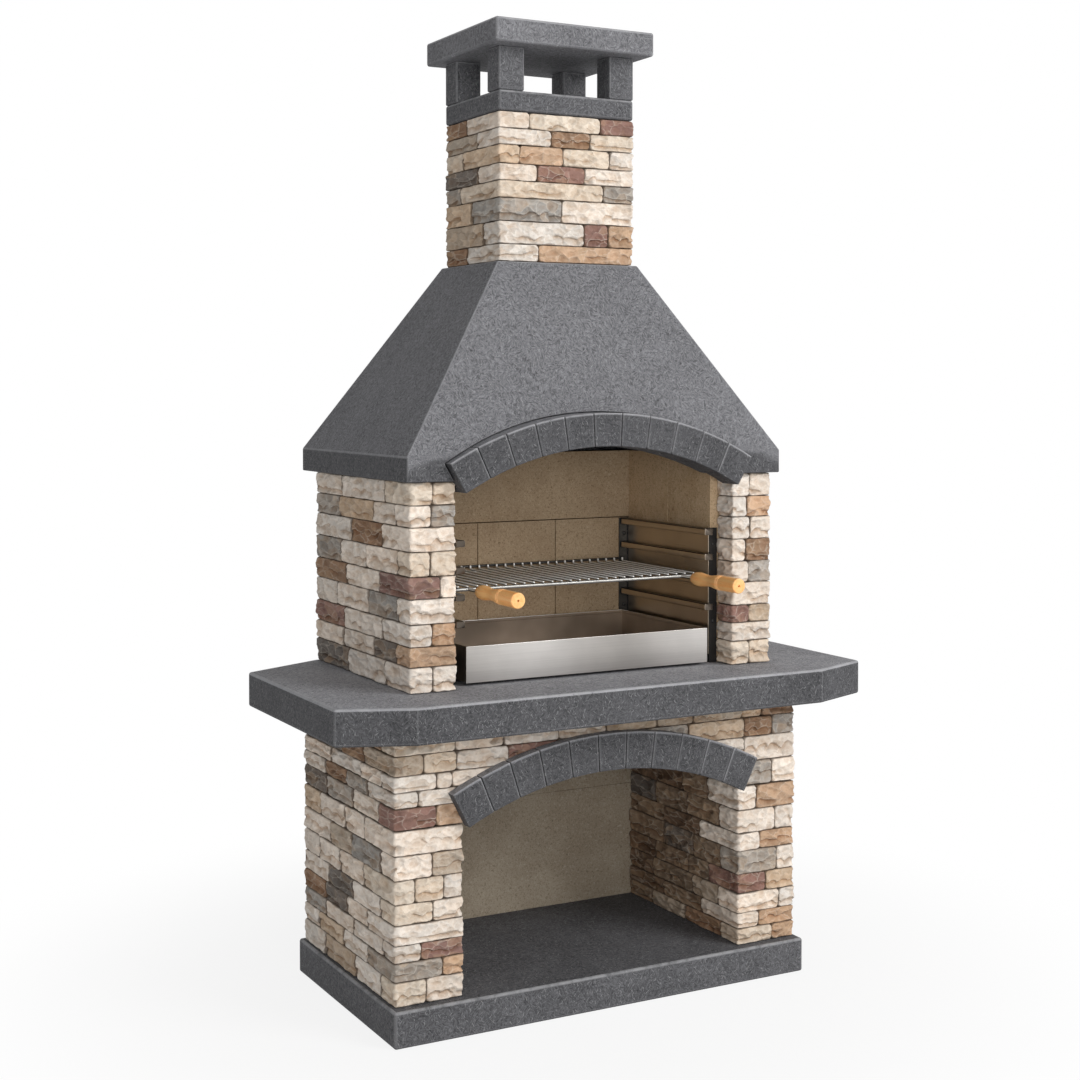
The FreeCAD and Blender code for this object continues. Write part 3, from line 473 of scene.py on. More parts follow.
# %% Describe the broken face
SHELL_SIZE = 30 * MM
SHELL_DEPTH = 4.2 * MM
CHIP_SIZE = 14 * MM
CHIP_DEPTH = 2 * MM
BOWL_RISE = 1.8
CELL_SHAPE = (1.0, 1.0, 1.6)
SIDE_STRETCH = 0.6
STONE_SHIFT = (31.0, 17.0, 23.0)
WARP_SCALE = 30.0
WARP = 24 * MM
SCALLOP_WIDTH = 36 * MM
SCALLOP_WARP = 30 * MM
SCALLOP_SHIFT = 977.0
SCALLOP_RISE = 0.24
LEDGE_LEVEL, LEDGE_RANGE = 0.22, 0.24
LEDGE_SHUFFLE = 7.31
LEDGE_WARP = 0.30
LEDGE_FALL = 0.42
LEDGE_DEPTH = 5 * MM
LEDGE_CLOUDS = {"scale": 13.0, "detail": 1.0}
LEDGE_SHOWN = (0.38, 0.52)
STEEP_UNDER_LIP, FILLED_OUT = (0.0, 0.16), (1.10, 0.05)
DARK_UNDER_LIP = (0.75, 0.05)
LIP_ABOVE, LIP_END = (-0.13, -0.01), (0.05, 0.0)
HOLLOW_STEP, CHIP_STEP, RIDGE_STEP = (0.35, 0.02), (0.45, 0.02), (0.070, 0.010)
TILT_CLOUDS = {"scale": 11.0, "detail": 1.0}
FACE_TILT = 5 * MM
GRAIN_CLOUDS = {"scale": 100.0, "detail": 4.0, "roughness": 0.6}
FACE_GRAIN = 2 * MM


def cells(place, size, feature="F1"):
    """Cells around scattered points, a little flatter than they are wide."""
    inputs = {"Vector": place * CELL_SHAPE, "Scale": 1 / size}
    return add_node(place.tree, "ShaderNodeTexVoronoi", inputs, feature=feature)


def bowl_of(cell):
    """The hollow of a cell: 0 at its middle and 1 near its rim."""
    return calc("MINIMUM", calc("POWER", Value(cell), 2.0) * BOWL_RISE, 1.0)


def below_ledge(sway, walk, lift, chance):
    """How far a point is below the scalloped ledge of its stone, as a share of what the ledge falls."""
    place = (walk + sway.dot(Y) * SCALLOP_WARP) / SCALLOP_WIDTH + chance * SCALLOP_SHIFT
    inputs = {"W": place, "Scale": 1.0}
    row = add_node(walk.tree, "ShaderNodeTexVoronoi", inputs, voronoi_dimensions="1D")
    across = calc("MINIMUM", Value(row, "Distance") * 2.0, 1.0)
    scallop = Value(row, "Color").dot(X) * SCALLOP_RISE * (1.0 - across * across)
    level = calc("FRACT", chance * LEDGE_SHUFFLE) * LEDGE_RANGE + LEDGE_LEVEL
    return (level + scallop - (lift + sway.dot(X) * LEDGE_WARP)) / LEDGE_FALL


def broken_face(spot, walk, lift, chance):
    """The pattern of a split face: its height in metres, and the parts that its finish paints."""
    moved = spot * (1.0, SIDE_STRETCH, 1.0) + chance * STONE_SHIFT
    sway = sway_of(moved, WARP_SCALE, detail=3.0)
    warped = moved + sway * WARP
    shell = cells(warped, SHELL_SIZE)
    bowl = bowl_of(shell)
    chip = bowl_of(cells(warped, CHIP_SIZE))
    border = Value(cells(warped, SHELL_SIZE, "DISTANCE_TO_EDGE"))
    below = below_ledge(sway, walk, lift, chance)
    shown = between(clouds(moved, **LEDGE_CLOUDS), *LEDGE_SHOWN)
    drop = between(below, *STEEP_UNDER_LIP) * shown
    height = (bowl - 0.5) * SHELL_DEPTH + (chip - 0.5) * CHIP_DEPTH
    height = height - drop * between(below, *FILLED_OUT) * LEDGE_DEPTH
    height = height + (clouds(moved, **TILT_CLOUDS) - 0.5) * FACE_TILT
    height = height + (clouds(moved, **GRAIN_CLOUDS) - 0.5) * FACE_GRAIN
    return {
        "height": height,
        "moved": moved,
        "shell": Value(shell, "Color"),
        "hollow": between(bowl, *HOLLOW_STEP),
        "chip": between(chip, *CHIP_STEP),
        "ridge": between(border, *RIDGE_STEP),
        # under_lip marks where shade is painted, and lip where a highlight is painted
        "under_lip": drop * between(below, *DARK_UNDER_LIP),
        "lip": between(below, *LIP_ABOVE) * between(below, *LIP_END) * shown,
    }


print("shells of", SHELL_SIZE / MM, "mm, scallops of", SCALLOP_WIDTH / MM, "mm")

# %% [markdown]
# ## Split stone
# Each cladding stone has one main colour, and each of its shells is a little lighter, darker or warmer.
# Broken ridges are paler, most of all on the dark stones. Shade is painted warmer and darker in the hollows
# and chips and under the ledge, and a highlight is painted paler along the lip.
# The rim of every stone goes dark in the joint, where dust and shade gather.
# A random number for each stone moves the pattern, so that no stain runs on into the next stone.

# %% Make the split stone finish
STAIN_WARM = paint(196, 166, 134)
LEDGE_SHADE = paint(196, 170, 142)
RIDGE_PALE_AND_LIP_HIGHLIGHT = paint(236, 226, 212)
JOINT_DARK = paint(92, 77, 64)
EYE_WEIGHTS = (0.3, 0.6, 0.1)
DARK_STEP = (0.60, 0.25)
SHELL_LIGHT = (0.90, 1.12)
DARK_SPREAD = 0.16
WARM_SHELLS = (0.62, 0.92)
DRIFT = {"scale": 22.0, "detail": 5.0, "roughness": 0.65, "distortion": 0.7}
DRIFT_STEP = (0.50, 0.76)
STAIN_SHARE = 0.24
SHADED_PARTS = {"hollow": 0.28, "chip": 0.22, "under_lip": 0.66}
PALE_SHARE, PALE_ON_DARK = 0.14, 0.09
PATCH_SCALE = 40.0
PATCH_STEP = (0.38, 0.58)
STONE_SAND = {"scale": 260.0, "detail": 3.0, "roughness": 0.7}
SAND_LIGHT = (0.88, 1.12)
SAND_RELIEF = 0.5 * MM
JOINT_SHARE = 0.80


def make_split_stone():
    material, shader, place = new_material("split_stone")
    tree = place.tree
    main = attribute(tree, "tone", "Color")
    spot = attribute(tree, "spot", "Vector")
    face = broken_face(spot, *[attribute(tree, name) for name in ("walk", "lift", "chance")])
    dark = between(main.dot(EYE_WEIGHTS), *DARK_STEP)
    colour = main * scaled(face["shell"].dot(X), SHELL_LIGHT[0] - dark * DARK_SPREAD, SHELL_LIGHT[1])
    warm = between(face["shell"].dot(Y), *WARM_SHELLS)
    drift = between(clouds(face["moved"], **DRIFT), *DRIFT_STEP)
    colour = tint((warm + drift) * STAIN_SHARE, colour, STAIN_WARM)
    # painted shade: hollows, chips and the face under the ledge are darkened
    for part, share in SHADED_PARTS.items():
        colour = tint(face[part] * share, colour, LEDGE_SHADE, "MULTIPLY")
    patchy = between(clouds(face["moved"], PATCH_SCALE), *PATCH_STEP)
    # pale ridges are the stone's own colour, and the pale lip is a painted highlight
    for ridge_and_lip_highlight in (face["ridge"] * patchy, face["lip"]):
        colour = tint(ridge_and_lip_highlight * (dark * PALE_ON_DARK + PALE_SHARE), colour, RIDGE_PALE_AND_LIP_HIGHLIGHT)
    sand = clouds(place, **STONE_SAND)
    colour = colour * scaled(sand, *SAND_LIGHT)
    colour = tint(attribute(tree, "rim") * JOINT_SHARE, colour, JOINT_DARK)
    fill(shader, {"Base Color": colour, "Roughness": 0.88, "Specular IOR Level": 0.2})
    roughen(shader, face["height"] + sand * SAND_RELIEF, strength=0.65, distance=1.0)
    return material


split_stone = make_split_stone()
print("split stone of", len(split_stone.node_tree.nodes), "nodes")

# %% [markdown]
# ## Fire lining and concrete
# The lining slabs are pressed chamotte: beige and sandy, with short brown fibres and paler grains.
# Concrete shows only at the back and in the gaps, so it is a plainer grey with few fibres.
# Both are grains and fibres over soft noise, so one function makes them from their own colours.

# %% Make the lining and the concrete
CHAMOTTE = (paint(160, 137, 110), paint(180, 158, 130), paint(96, 76, 54), paint(204, 187, 161))
LIT_CHAMOTTE = (paint(184, 157, 124), paint(206, 180, 147), paint(108, 84, 58), paint(224, 204, 174))
PANEL = (paint(152, 139, 121), paint(170, 158, 140), paint(94, 81, 65), paint(196, 186, 170))
CONCRETE = (paint(140, 138, 134), paint(168, 166, 161), paint(100, 98, 95), paint(190, 188, 183))
SANDY_MOTTLE = {"scale": 7.0, "detail": 6.0, "roughness": 0.6}
SANDY_MOTTLE_STEP = (0.30, 0.70)
SANDY_GRAIN = {"detail": 3.0, "roughness": 0.75, "distortion": 0.8}
DARK_GRAINS, DARK_GRAIN_SHARE = (0.46, 0.34), 0.55
PALE_GRAINS, PALE_GRAIN_SHARE = (0.56, 0.66), 0.45
SANDY_FIBRE, SANDY_FIBRE_RELIEF = 0.14, 0.5
PRESSED_GRAIN, PRESSED_FIBRES = 190.0, 0.6
POURED_GRAIN, POURED_FIBRES = 150.0, 0.2


def make_sandy(name, colours, grain_scale=PRESSED_GRAIN, fibre_share=PRESSED_FIBRES):
    """Colours are the darker and lighter ground, the dark grains and fibres, and the pale grains."""
    dark, light, grain, spark = colours
    material, shader, place = new_material(name)
    colour = tint(between(clouds(place, **SANDY_MOTTLE), *SANDY_MOTTLE_STEP), dark, light)
    sand = clouds(place, grain_scale, **SANDY_GRAIN)
    colour = tint(between(sand, *DARK_GRAINS) * DARK_GRAIN_SHARE, colour, grain)
    colour = tint(between(sand, *PALE_GRAINS) * PALE_GRAIN_SHARE, colour, spark)
    fibre = fibres(place, grain_scale, SANDY_FIBRE)
    colour = tint(fibre * fibre_share, colour, grain)
    fill(shader, {"Base Color": colour, "Roughness": 0.85, "Specular IOR Level": 0.2})
    roughen(shader, sand - fibre * SANDY_FIBRE_RELIEF, strength=0.40, distance=1 * MM)
    return material


chamotte = make_sandy("chamotte", CHAMOTTE)
# The side slabs are the same chamotte, painted lighter: painted light where light falls on them.
pale_chamotte = make_sandy("pale_chamotte", LIT_CHAMOTTE)
panel_stone = make_sandy("panel_stone", PANEL)
concrete = make_sandy("concrete", CONCRETE, POURED_GRAIN, POURED_FIBRES)
print("sandy finishes:", chamotte.name, panel_stone.name, concrete.name)

# %% [markdown]
# ## Painted shade and reflections on steel
# Inside, the ember tray is painted darker and browner, as painted shade and a painted reflection of the
# lining, and it is dulled; its sheet shows soft lighter and darker bands, which are painted reflections.
# The runners get painted shade along the top, and the wires get painted shade underneath.
# A finish knows such places from the tray's box in the frame, or from the way a face looks.

# %% Helpers for painted shade and reflections on steel
STAINLESS = paint(216, 212, 208)
TRAY_INSIDE_SHADE = paint(172, 154, 136)
INSIDE_SHADE_SHARE = 0.45
PAINTED_SHADE_DARK = paint(38, 32, 27)
CUT_END = paint(96, 88, 80)
TRAY_LOW, TRAY_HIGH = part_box("ember_tray")
TRAY_RIM = 1.5 * MM
TRAY_DULLED = 0.6
INSIDE_SHADE_CLOUDS = {"scale": 5.0, "detail": 3.0}
INSIDE_SHADE_STEP = (0.3, 0.7)
REFLECTION_BAND_STEP = 0.47
REFLECTION_BAND_PLACE = -0.16
REFLECTION_BAND_SHADE = (0.66, 0.65, 0.64, 1.0)
RUNNER_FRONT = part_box("left_rack_runners")[0][1] + 0.3 * MM
SHADE_ON_TOP = (0.3, 0.7)
SHADE_BENEATH = (0.1, -0.4)


def within_tray(place):
    """1 on the inner faces of the ember tray."""
    tests = []
    for axis, low, high in zip((X, Y, Z), TRAY_LOW, TRAY_HIGH):
        reach = place.dot(axis)
        tests.append(calc("GREATER_THAN", reach, low + TRAY_RIM))
        tests.append(calc("LESS_THAN", reach, high - TRAY_RIM))
    return math.prod(tests)


def mark_tray(shader, place, colour):
    """Soft bands across the sheet are painted reflections, and the inside is painted darker and browner as
    shade and reflected lining, and dulled.
    """
    # painted reflection: soft light and dark bands across the sheet
    reflection_wave = calc("COSINE", (place.dot(X) - REFLECTION_BAND_PLACE) * (2 * math.pi / REFLECTION_BAND_STEP))
    colour = tint(reflection_wave * -0.5 + 0.5, colour, REFLECTION_BAND_SHADE, "MULTIPLY")
    # painted shade and reflection of the lining: the inside is darker and browner, in patches
    inside = within_tray(place)
    fill(shader, {"Metallic": inside * -TRAY_DULLED + 1.0})
    patches = between(clouds(place, **INSIDE_SHADE_CLOUDS), *INSIDE_SHADE_STEP)
    return tint(inside, colour, tint(patches, TRAY_INSIDE_SHADE, dimmed(TRAY_INSIDE_SHADE, INSIDE_SHADE_SHARE)))


def mark_runner(shader, place, colour):
    """Painted shade along the top, and dull on the cut front end."""
    slope = surface_normal(place.tree).dot(Z)
    colour = tint(between(slope, *SHADE_ON_TOP), colour, PAINTED_SHADE_DARK)
    return tint(calc("LESS_THAN", place.dot(Y), RUNNER_FRONT), colour, CUT_END)


def mark_wire(shader, place, colour):
    """Painted shade underneath."""
    return tint(between(surface_normal(place.tree).dot(Z), *SHADE_BENEATH), colour, PAINTED_SHADE_DARK)


print("tray from", TRAY_LOW, "to", TRAY_HIGH)

# %% [markdown]
# ## Steel and beech
# The tray and rack are brushed stainless sheet: fine scratches in one direction, made by stretched noise.
# The uprights are black lacquered angle, the grate is zinc-bright rod, and the handles are oiled beech.
# Beech has long straight grain with short dark flecks, so its noise is stretched along the handle.

# %% Make the steel and wood finishes
# The rack's steel is tinted warm: a painted reflection of the fire lining.
RACK_STEEL_WARM_REFLECTION = paint(208, 194, 176)
BRIGHT_ROD = paint(250, 248, 244)
FRAME_ROD = paint(168, 166, 162)
DARK_ROD = paint(70, 68, 66)
LACQUER, DUSTY_LACQUER = paint(22, 22, 23), paint(34, 33, 33)
BEECH, DEEP_BEECH, BEECH_FLECK = paint(255, 200, 132), paint(255, 180, 106), paint(214, 146, 86)
RACK_SCRATCH = (60.0, 5.0, 900.0)
TRAY_SCRATCH = (3.0, 60.0, 900.0)
ACROSS_SCRATCH = (30.0, 400.0, 400.0)
ALONG_SCRATCH = (400.0, 30.0, 400.0)
SCRATCHES = {"scale": 1.0, "detail": 3.0, "roughness": 0.6}
SCRATCH_STEP = (0.60, 0.40)
BRUSH_GLOSS = 0.7
DULL_CLOUDS = {"scale": 7.0, "detail": 3.0}
DULL_STEP, DULLED = (0.3, 0.75), 0.86
DUST_CLOUDS = {"scale": 24.0, "detail": 4.0}
DUST_STEP = (0.35, 0.75)
LACQUER_PEEL = 500.0
BEECH_GRAIN = (110.0, 6.0, 110.0)
BEECH_CLOUDS = {"scale": 1.0, "detail": 5.0, "roughness": 0.6, "distortion": 0.5}
BEECH_STEP = (0.36, 0.70)
BEECH_RAYS = (700.0, 70.0, 700.0)
FLECK_STEP, FLECK_SHARE = (0.62, 0.72), 0.40
FINE_RELIEF = 0.3 * MM


def stretched(place, scale):
    """The place on a piece, stretched by a factor for each direction."""
    return Value(add_node(place.tree, "ShaderNodeMapping", {"Vector": place, "Scale": scale}))


def make_brushed(name, colour, scratch, roughness, metallic, brush=0.12, mark=None):
    """Brush is how deep the scratches show, and mark adds what use has left on the piece."""
    material, shader, place = new_material(name)
    lines = clouds(stretched(place, scratch), **SCRATCHES)
    cloud = between(clouds(place, **DULL_CLOUDS), *DULL_STEP)
    dull = tint(cloud, colour, dimmed(colour, DULLED))
    dull = tint(between(lines, *SCRATCH_STEP) * brush, dull, DARK_ROD)
    gloss = scaled(lines, roughness - BRUSH_GLOSS * brush, roughness + brush)
    fill(shader, {"Metallic": metallic, "Roughness": gloss})
    fill(shader, {"Base Color": mark(shader, place, dull) if mark else dull})
    roughen(shader, lines, strength=brush, distance=FINE_RELIEF)
    return material


def make_lacquer():
    material, shader, place = new_material("black_lacquer")
    dust = between(clouds(place, **DUST_CLOUDS), *DUST_STEP)
    fill(shader, {"Base Color": tint(dust, LACQUER, DUSTY_LACQUER), "Roughness": 0.42})
    roughen(shader, clouds(place, LACQUER_PEEL), strength=0.15, distance=FINE_RELIEF)
    return material


def make_beech():
    material, shader, place = new_material("beech")
    grain = clouds(stretched(place, BEECH_GRAIN), **BEECH_CLOUDS)
    colour = tint(between(grain, *BEECH_STEP), BEECH, DEEP_BEECH)
    rays = clouds(stretched(place, BEECH_RAYS), 1.0, detail=1.0)
    colour = tint(between(rays, *FLECK_STEP) * FLECK_SHARE, colour, BEECH_FLECK)
    fill(shader, {"Base Color": colour, "Roughness": 0.42, "Coat Weight": 0.12, "Coat Roughness": 0.3})
    roughen(shader, grain, strength=0.12, distance=0.4 * MM)
    return material


rack_steel = make_brushed("rack_steel", RACK_STEEL_WARM_REFLECTION, RACK_SCRATCH, 0.28, 1.0, 0.03)
runner_steel = make_brushed("runner_steel", RACK_STEEL_WARM_REFLECTION, RACK_SCRATCH, 0.28, 1.0, 0.03, mark_runner)
frame_rod = make_brushed("frame_rod", FRAME_ROD, ACROSS_SCRATCH, 0.36, 0.7)
tray_steel = make_brushed("tray_steel", STAINLESS, TRAY_SCRATCH, 0.32, 1.0, 0.07, mark_tray)
bright_rod = make_brushed("bright_rod", BRIGHT_ROD, ALONG_SCRATCH, 0.34, 0.30, mark=mark_wire)
# The rear rail of the grate is a darker rod.
sooted_rod = make_brushed("sooted_rod", DARK_ROD, ACROSS_SCRATCH, 0.45, 0.7)
lacquer = make_lacquer()
beech = make_beech()
print("finishes in all:", len(bpy.data.materials))

# %% [markdown]
# ## Handing a piece over
# Each new piece takes the place of plain solids and moves with their body.
# A modifier is turned into plain mesh before that, so that what is handed over is exactly what shows.
# The trees of Geometry Nodes get their inputs by name here, and all of them end in the same two steps.

# %% Helpers for pieces and trees
WELD = 1e-5
BODY_OF = {node: name for name, nodes in frame["record"]["behaviour"]["bodies"].items() for node in nodes}


def new_piece(name, mesh, material=None):
    """An object at the origin for a mesh."""
    piece = bpy.data.objects.new(name, mesh)
    bpy.context.collection.objects.link(piece)
    if material:
        mesh.materials.append(material)
    return piece


def settle(piece):
    """Turns what the modifiers make into the piece's own mesh."""
    bpy.context.view_layer.update()
    depsgraph = bpy.context.evaluated_depsgraph_get()
    made = piece.evaluated_get(depsgraph)
    mesh = bpy.data.meshes.new_from_object(made, preserve_all_data_layers=True, depsgraph=depsgraph)
    piece.modifiers.clear()
    piece.data = mesh


def hand_over(piece, slot, *nodes):
    """The piece stands for these nodes, on their body."""
    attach(piece, BODY_OF[nodes[0]])
    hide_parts(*nodes)


def new_tree(name, **inputs):
    """A Geometry Nodes tree with inputs after its geometry, listed by kind. Returns it with their values."""
    tree = bpy.data.node_groups.new(name, "GeometryNodeTree")
    for kind, labels in {"Geometry": ["Geometry"], **inputs}.items():
        for label in labels:
            tree.interface.new_socket(label, in_out="INPUT", socket_type="NodeSocket" + kind)
    tree.interface.new_socket("Geometry", in_out="OUTPUT", socket_type="NodeSocketGeometry")
    given = tree.nodes.new("NodeGroupInput")
    return tree, {socket.name: Value(given, socket.name) for socket in given.outputs if socket.name}


def then(geometry, kind, inputs=None, **settings):
    """The next step of a Geometry Nodes tree."""
    inputs = {"Geometry": geometry, **(inputs or {})}
    return Value(add_node(geometry.tree, "GeometryNode" + kind, inputs, **settings))


def keep(geometry, name, value, kind="FLOAT"):
    """Keeps a value at every point as an attribute."""
    inputs = {"Name": name, "Value": value}
    return then(geometry, "StoreNamedAttribute", inputs, data_type=kind, domain="POINT")


def end_tree(geometry, material):
    """Ends a tree in plain geometry with its finish."""
    whole = then(geometry, "RealizeInstances")
    finished = then(whole, "SetMaterial", {"Material": material})
    add_node(geometry.tree, "NodeGroupOutput", {"Geometry": finished})


def grow(piece, tree, **values):
    """Runs a tree on a piece, with its inputs given by the words of their names, and keeps the result."""
    modifier = piece.modifiers.new(tree.name, "NODES")
    modifier.node_group = tree
    for item in tree.interface.items_tree:
        key = item.name.lower().replace(" ", "_")
        if item.item_type == "SOCKET" and item.in_out == "INPUT" and key in values:
            modifier[item.identifier] = values[key]
    settle(piece)


print("bodies:", sorted(set(BODY_OF.values())))

# %% [markdown]
# ## Reading the stones
# The frame holds every stone as a plain block, so its outline says where the stone sits in the wall.
# A wall is a path on the ground that is walked with the inside on the left.
# For each stone we look for the stretches of that path on which it shows: one, or two and three at corners.

# %% Find where each stone shows
ON_FACE = 0.3 * MM
SHORTEST_RUN = 4 * MM


def read_blocks(node):
    """The points of each separate block in a node."""
    mesh = bmesh.new()
    mesh.from_mesh(frame["nodes"][node].data)
    bmesh.ops.remove_doubles(mesh, verts=mesh.verts, dist=WELD)
    seen = set()
    blocks = []
    for first in mesh.verts:
        if first in seen:
            continue
        seen.add(first)
        block = [first]
        for vertex in block:
            for edge in vertex.link_edges:
                other = edge.other_vert(vertex)
                if other not in seen:
                    seen.add(other)
                    block.append(other)
        blocks.append(np.array([vertex.co[:] for vertex in block]))
    mesh.free()
    return blocks


def heading(path, number):
    """The direction of one stretch of a path, and the direction out of the wall there."""
    ahead = path[number + 1] - path[number]
    ahead = ahead / np.linalg.norm(ahead)
    return ahead, np.array((ahead[1], -ahead[0]))


def face_runs(points, path):
    """Where a block shows: the number of the stretch of the path, and its start and end along it."""
    runs = []
    for number in range(len(path) - 1):
        ahead, outward = heading(path, number)
        offset = points[:, :2] - path[number]
        reach = (offset @ ahead)[np.abs(offset @ outward) < ON_FACE]
        if len(reach) and reach.max() - reach.min() > SHORTEST_RUN:
            runs.append((number, reach.min(), reach.max()))
    closed = np.allclose(path[0], path[-1])
    if closed and 1 < len(runs) < 4 and runs[0][0] == 0 and runs[-1][0] == len(path) - 2:
        runs = runs[-1:] + runs[:-1]
    return runs


print("stones of the left pier:", len(read_blocks("left_pier_stones")))

# %% [markdown]
# ## Walking round a stone
# A split stone has a face that is wider than it is deep, edges rounded by wear, and hidden sides.
# We lay a fine grid over its face, and the first thing it needs is a row of points along the wall.
# The points crowd together at the rim, where the surface turns, and are even on the rest of the face.
# At a corner of the wall they follow a small arc, so that the stone turns the corner in one piece.

# %% Place the columns of a stone's grid
CELL = 2.9 * MM
EASE_STEPS = 3
CORNER_STEPS = 3
CORNER_EASE = 5 * MM


def spread(length, ease, start_eased, end_eased):
    """Distances along a side, close together where an end is rounded."""
    bend = ease * (1 - np.cos(np.linspace(0, math.pi / 2, EASE_STEPS + 1)))
    low = bend if start_eased else np.zeros(1)
    high = length - bend[::-1] if end_eased else np.full(1, length)
    count = max(2, round((high[0] - low[-1]) / CELL))
    return np.concatenate([low, np.linspace(low[-1], high[0], count + 1)[1:-1], high])


def turn_corner(corner, outward, next_out, depth, total):
    """The points that take a face round a corner of its wall."""
    centre = corner - CORNER_EASE * (outward + next_out)
    back = corner - depth * (outward + next_out)
    columns = []
    for i in range(1, CORNER_STEPS + 1):
        angle = i / (CORNER_STEPS + 1) * math.pi / 2
        out = math.cos(angle) * outward + math.sin(angle) * next_out
        columns.append((centre + CORNER_EASE * out, out, back, total + CORNER_EASE * angle))
    return columns


def walk_face(runs, path, depth, ease):
    """Points along a stone's face: place, outward direction, place at its back, and distance walked."""
    columns = []
    total = 0.0
    for k, (number, start, end) in enumerate(runs):
        origin = path[number]
        ahead, outward = heading(path, number)
        from_corner = k > 0
        to_corner = k < len(runs) - 1
        first = start + CORNER_EASE * from_corner
        last = end - CORNER_EASE * to_corner
        for step in spread(last - first, ease, not from_corner, not to_corner):
            reach = first + step
            back_reach = np.clip(reach, start + depth * from_corner, end - depth * to_corner)
            back = origin + ahead * back_reach - outward * depth
            columns.append((origin + ahead * reach, outward, back, total + step))
        total += last - first
        if to_corner:
            next_out = heading(path, runs[k + 1][0])[1]
            columns += turn_corner(origin + ahead * end, outward, next_out, depth, total)
            total += CORNER_EASE * math.pi / 2
    return [np.array(values) for values in zip(*columns)]


print("stone grid cell:", CELL / MM, "mm")

# %% [markdown]
# ## Shaping a stone
# The grid's rim is bent back like a cushion, and the stone is closed behind.
# Seen from the front its corners are rounded more widely, so the rim follows a rectangle with round corners.
# Each point also keeps the numbers that its finish needs, such as how near it is to the joint.

# %% Build one stone
WOBBLE = 0.5 * MM
WOBBLE_WAVES = (30, 110)
WOBBLE_STARTS = (0, 6.3)
JOINT_FILL = 1 * MM
EASE_RANGE = (2.8 * MM, 4.6 * MM)
MOST_EASED = 0.25
CORNER_ROUND = 9 * MM
MOST_ROUND = 0.30
CORNER_DROP = 2.0
PROUD = 1.5 * MM
SIDE_RIM = 0.20
FRONT_RIM = 0.60
RIM_FADE = 0.40


def wavy(walked, dice):
    """A line that wanders a little."""
    waves = []
    for _ in range(2):
        angle = walked * dice.uniform(*WOBBLE_WAVES) + dice.uniform(*WOBBLE_STARTS)
        waves.append(WOBBLE / 2 * np.sin(angle))
    return sum(waves)


def rim_gap(side_gap, end_gap, corner):
    """How far each point is from the rim, which goes round the corners of the face."""
    by_corner = (side_gap < corner) & (end_gap < corner)
    to_corner = corner - np.hypot(corner - side_gap, corner - end_gap)
    return np.where(by_corner, to_corner, np.minimum(side_gap, end_gap))


def stone_faces(ring, columns):
    """Faces round a stone, and the two that close its ends."""
    faces = []
    for r in range(ring):
        here, after = r * columns, (r + 1) % ring * columns
        faces += [(here + c, here + c + 1, after + c + 1, after + c) for c in range(columns - 1)]
    faces.append(tuple(r * columns for r in range(ring)))
    faces.append(tuple(r * columns + columns - 1 for r in reversed(range(ring))))
    return faces


def with_back(front, top, bottom):
    """Numbers of the face's grid, with those of the two rows behind it."""
    behind = [np.broadcast_to(row, front.shape[1:]) for row in (top, bottom)]
    return np.concatenate([front, np.stack(behind)])


def shape_stone(runs, path, low, high, depth, dice, underside=None):
    """One closed stone. Returns what its mesh and finish need at each point, and its faces."""
    least = min(high - low, sum(end - start for _, start, end in runs))
    ease = min(dice.uniform(*EASE_RANGE), MOST_EASED * least)
    columns = walk_face(runs, path, depth, ease)
    bottom = low + wavy(columns[3], dice)
    top = high + wavy(columns[3], dice)
    if underside:
        bottom = np.maximum(bottom, underside(columns[0][:, 0]))
    tall = top - bottom > SHORTEST_RUN
    places, outs, backs, walked, bottom, top = (values[tall] for values in (*columns, bottom, top))

    share = spread(high - low, ease, True, True) / (high - low)
    height = bottom + share[:, None] * (top - bottom)
    end_gap = np.minimum(height - bottom, top - height)
    side_gap = np.minimum(walked - walked[0], walked[-1] - walked) + 0 * end_gap
    gap = rim_gap(side_gap, end_gap, min(CORNER_ROUND, MOST_ROUND * least))
    bend = np.clip(1 - gap / ease, 0, 1)
    hold = np.sqrt(1 - bend**2)
    push = dice.uniform(-PROUD, PROUD) - ease * (1 - hold) - CORNER_DROP * np.maximum(-gap, 0)

    sideways = np.abs(outs[:, 0]) > 0.5
    side_bend = np.clip(1 - side_gap / ease, 0, 1)
    side_rim = np.clip((side_bend - SIDE_RIM) / RIM_FADE, 0, 1) * sideways
    rim = np.maximum(side_rim, np.clip((bend - FRONT_RIM) / RIM_FADE, 0, 1))
    pace = np.diff(walked, prepend=walked[0]) * np.where(sideways, SIDE_STRETCH, 1.0)
    front = np.dstack([places + outs * push[:, :, None], height])
    points = with_back(front, np.column_stack([backs, top]), np.column_stack([backs, bottom]))
    ring = len(points)
    layers = {
        "points": points.reshape(-1, 3),
        "outward": np.tile(np.column_stack([outs, 0 * top]), (ring, 1)),
        "hold": with_back(hold, 0.0, 0.0).ravel(),
        "lift": with_back(share[:, None] + 0 * height, 1.0, 0.0).ravel(),
        "walk": np.tile(np.cumsum(pace), ring),
        "rim": with_back(rim, 1.0, 1.0).ravel(),
    }
    return layers, stone_faces(ring, len(walked))


print("a stone's edges are rounded by", EASE_RANGE[0] / MM, "to", EASE_RANGE[1] / MM, "mm")

# %% [markdown]
# ## Breaking the faces
# A short Geometry Nodes tree pushes every point of a face along its outward direction by the broken pattern.
# It first keeps the unbroken place as an attribute, so that the finish paints the same shells and ledges.

# %% Build the tree that breaks the faces


def named(tree, name, kind="FLOAT"):
    """An attribute of the mesh by its name."""
    return Value(add_node(tree, "GeometryNodeInputNamedAttribute", {"Name": name}, data_type=kind))


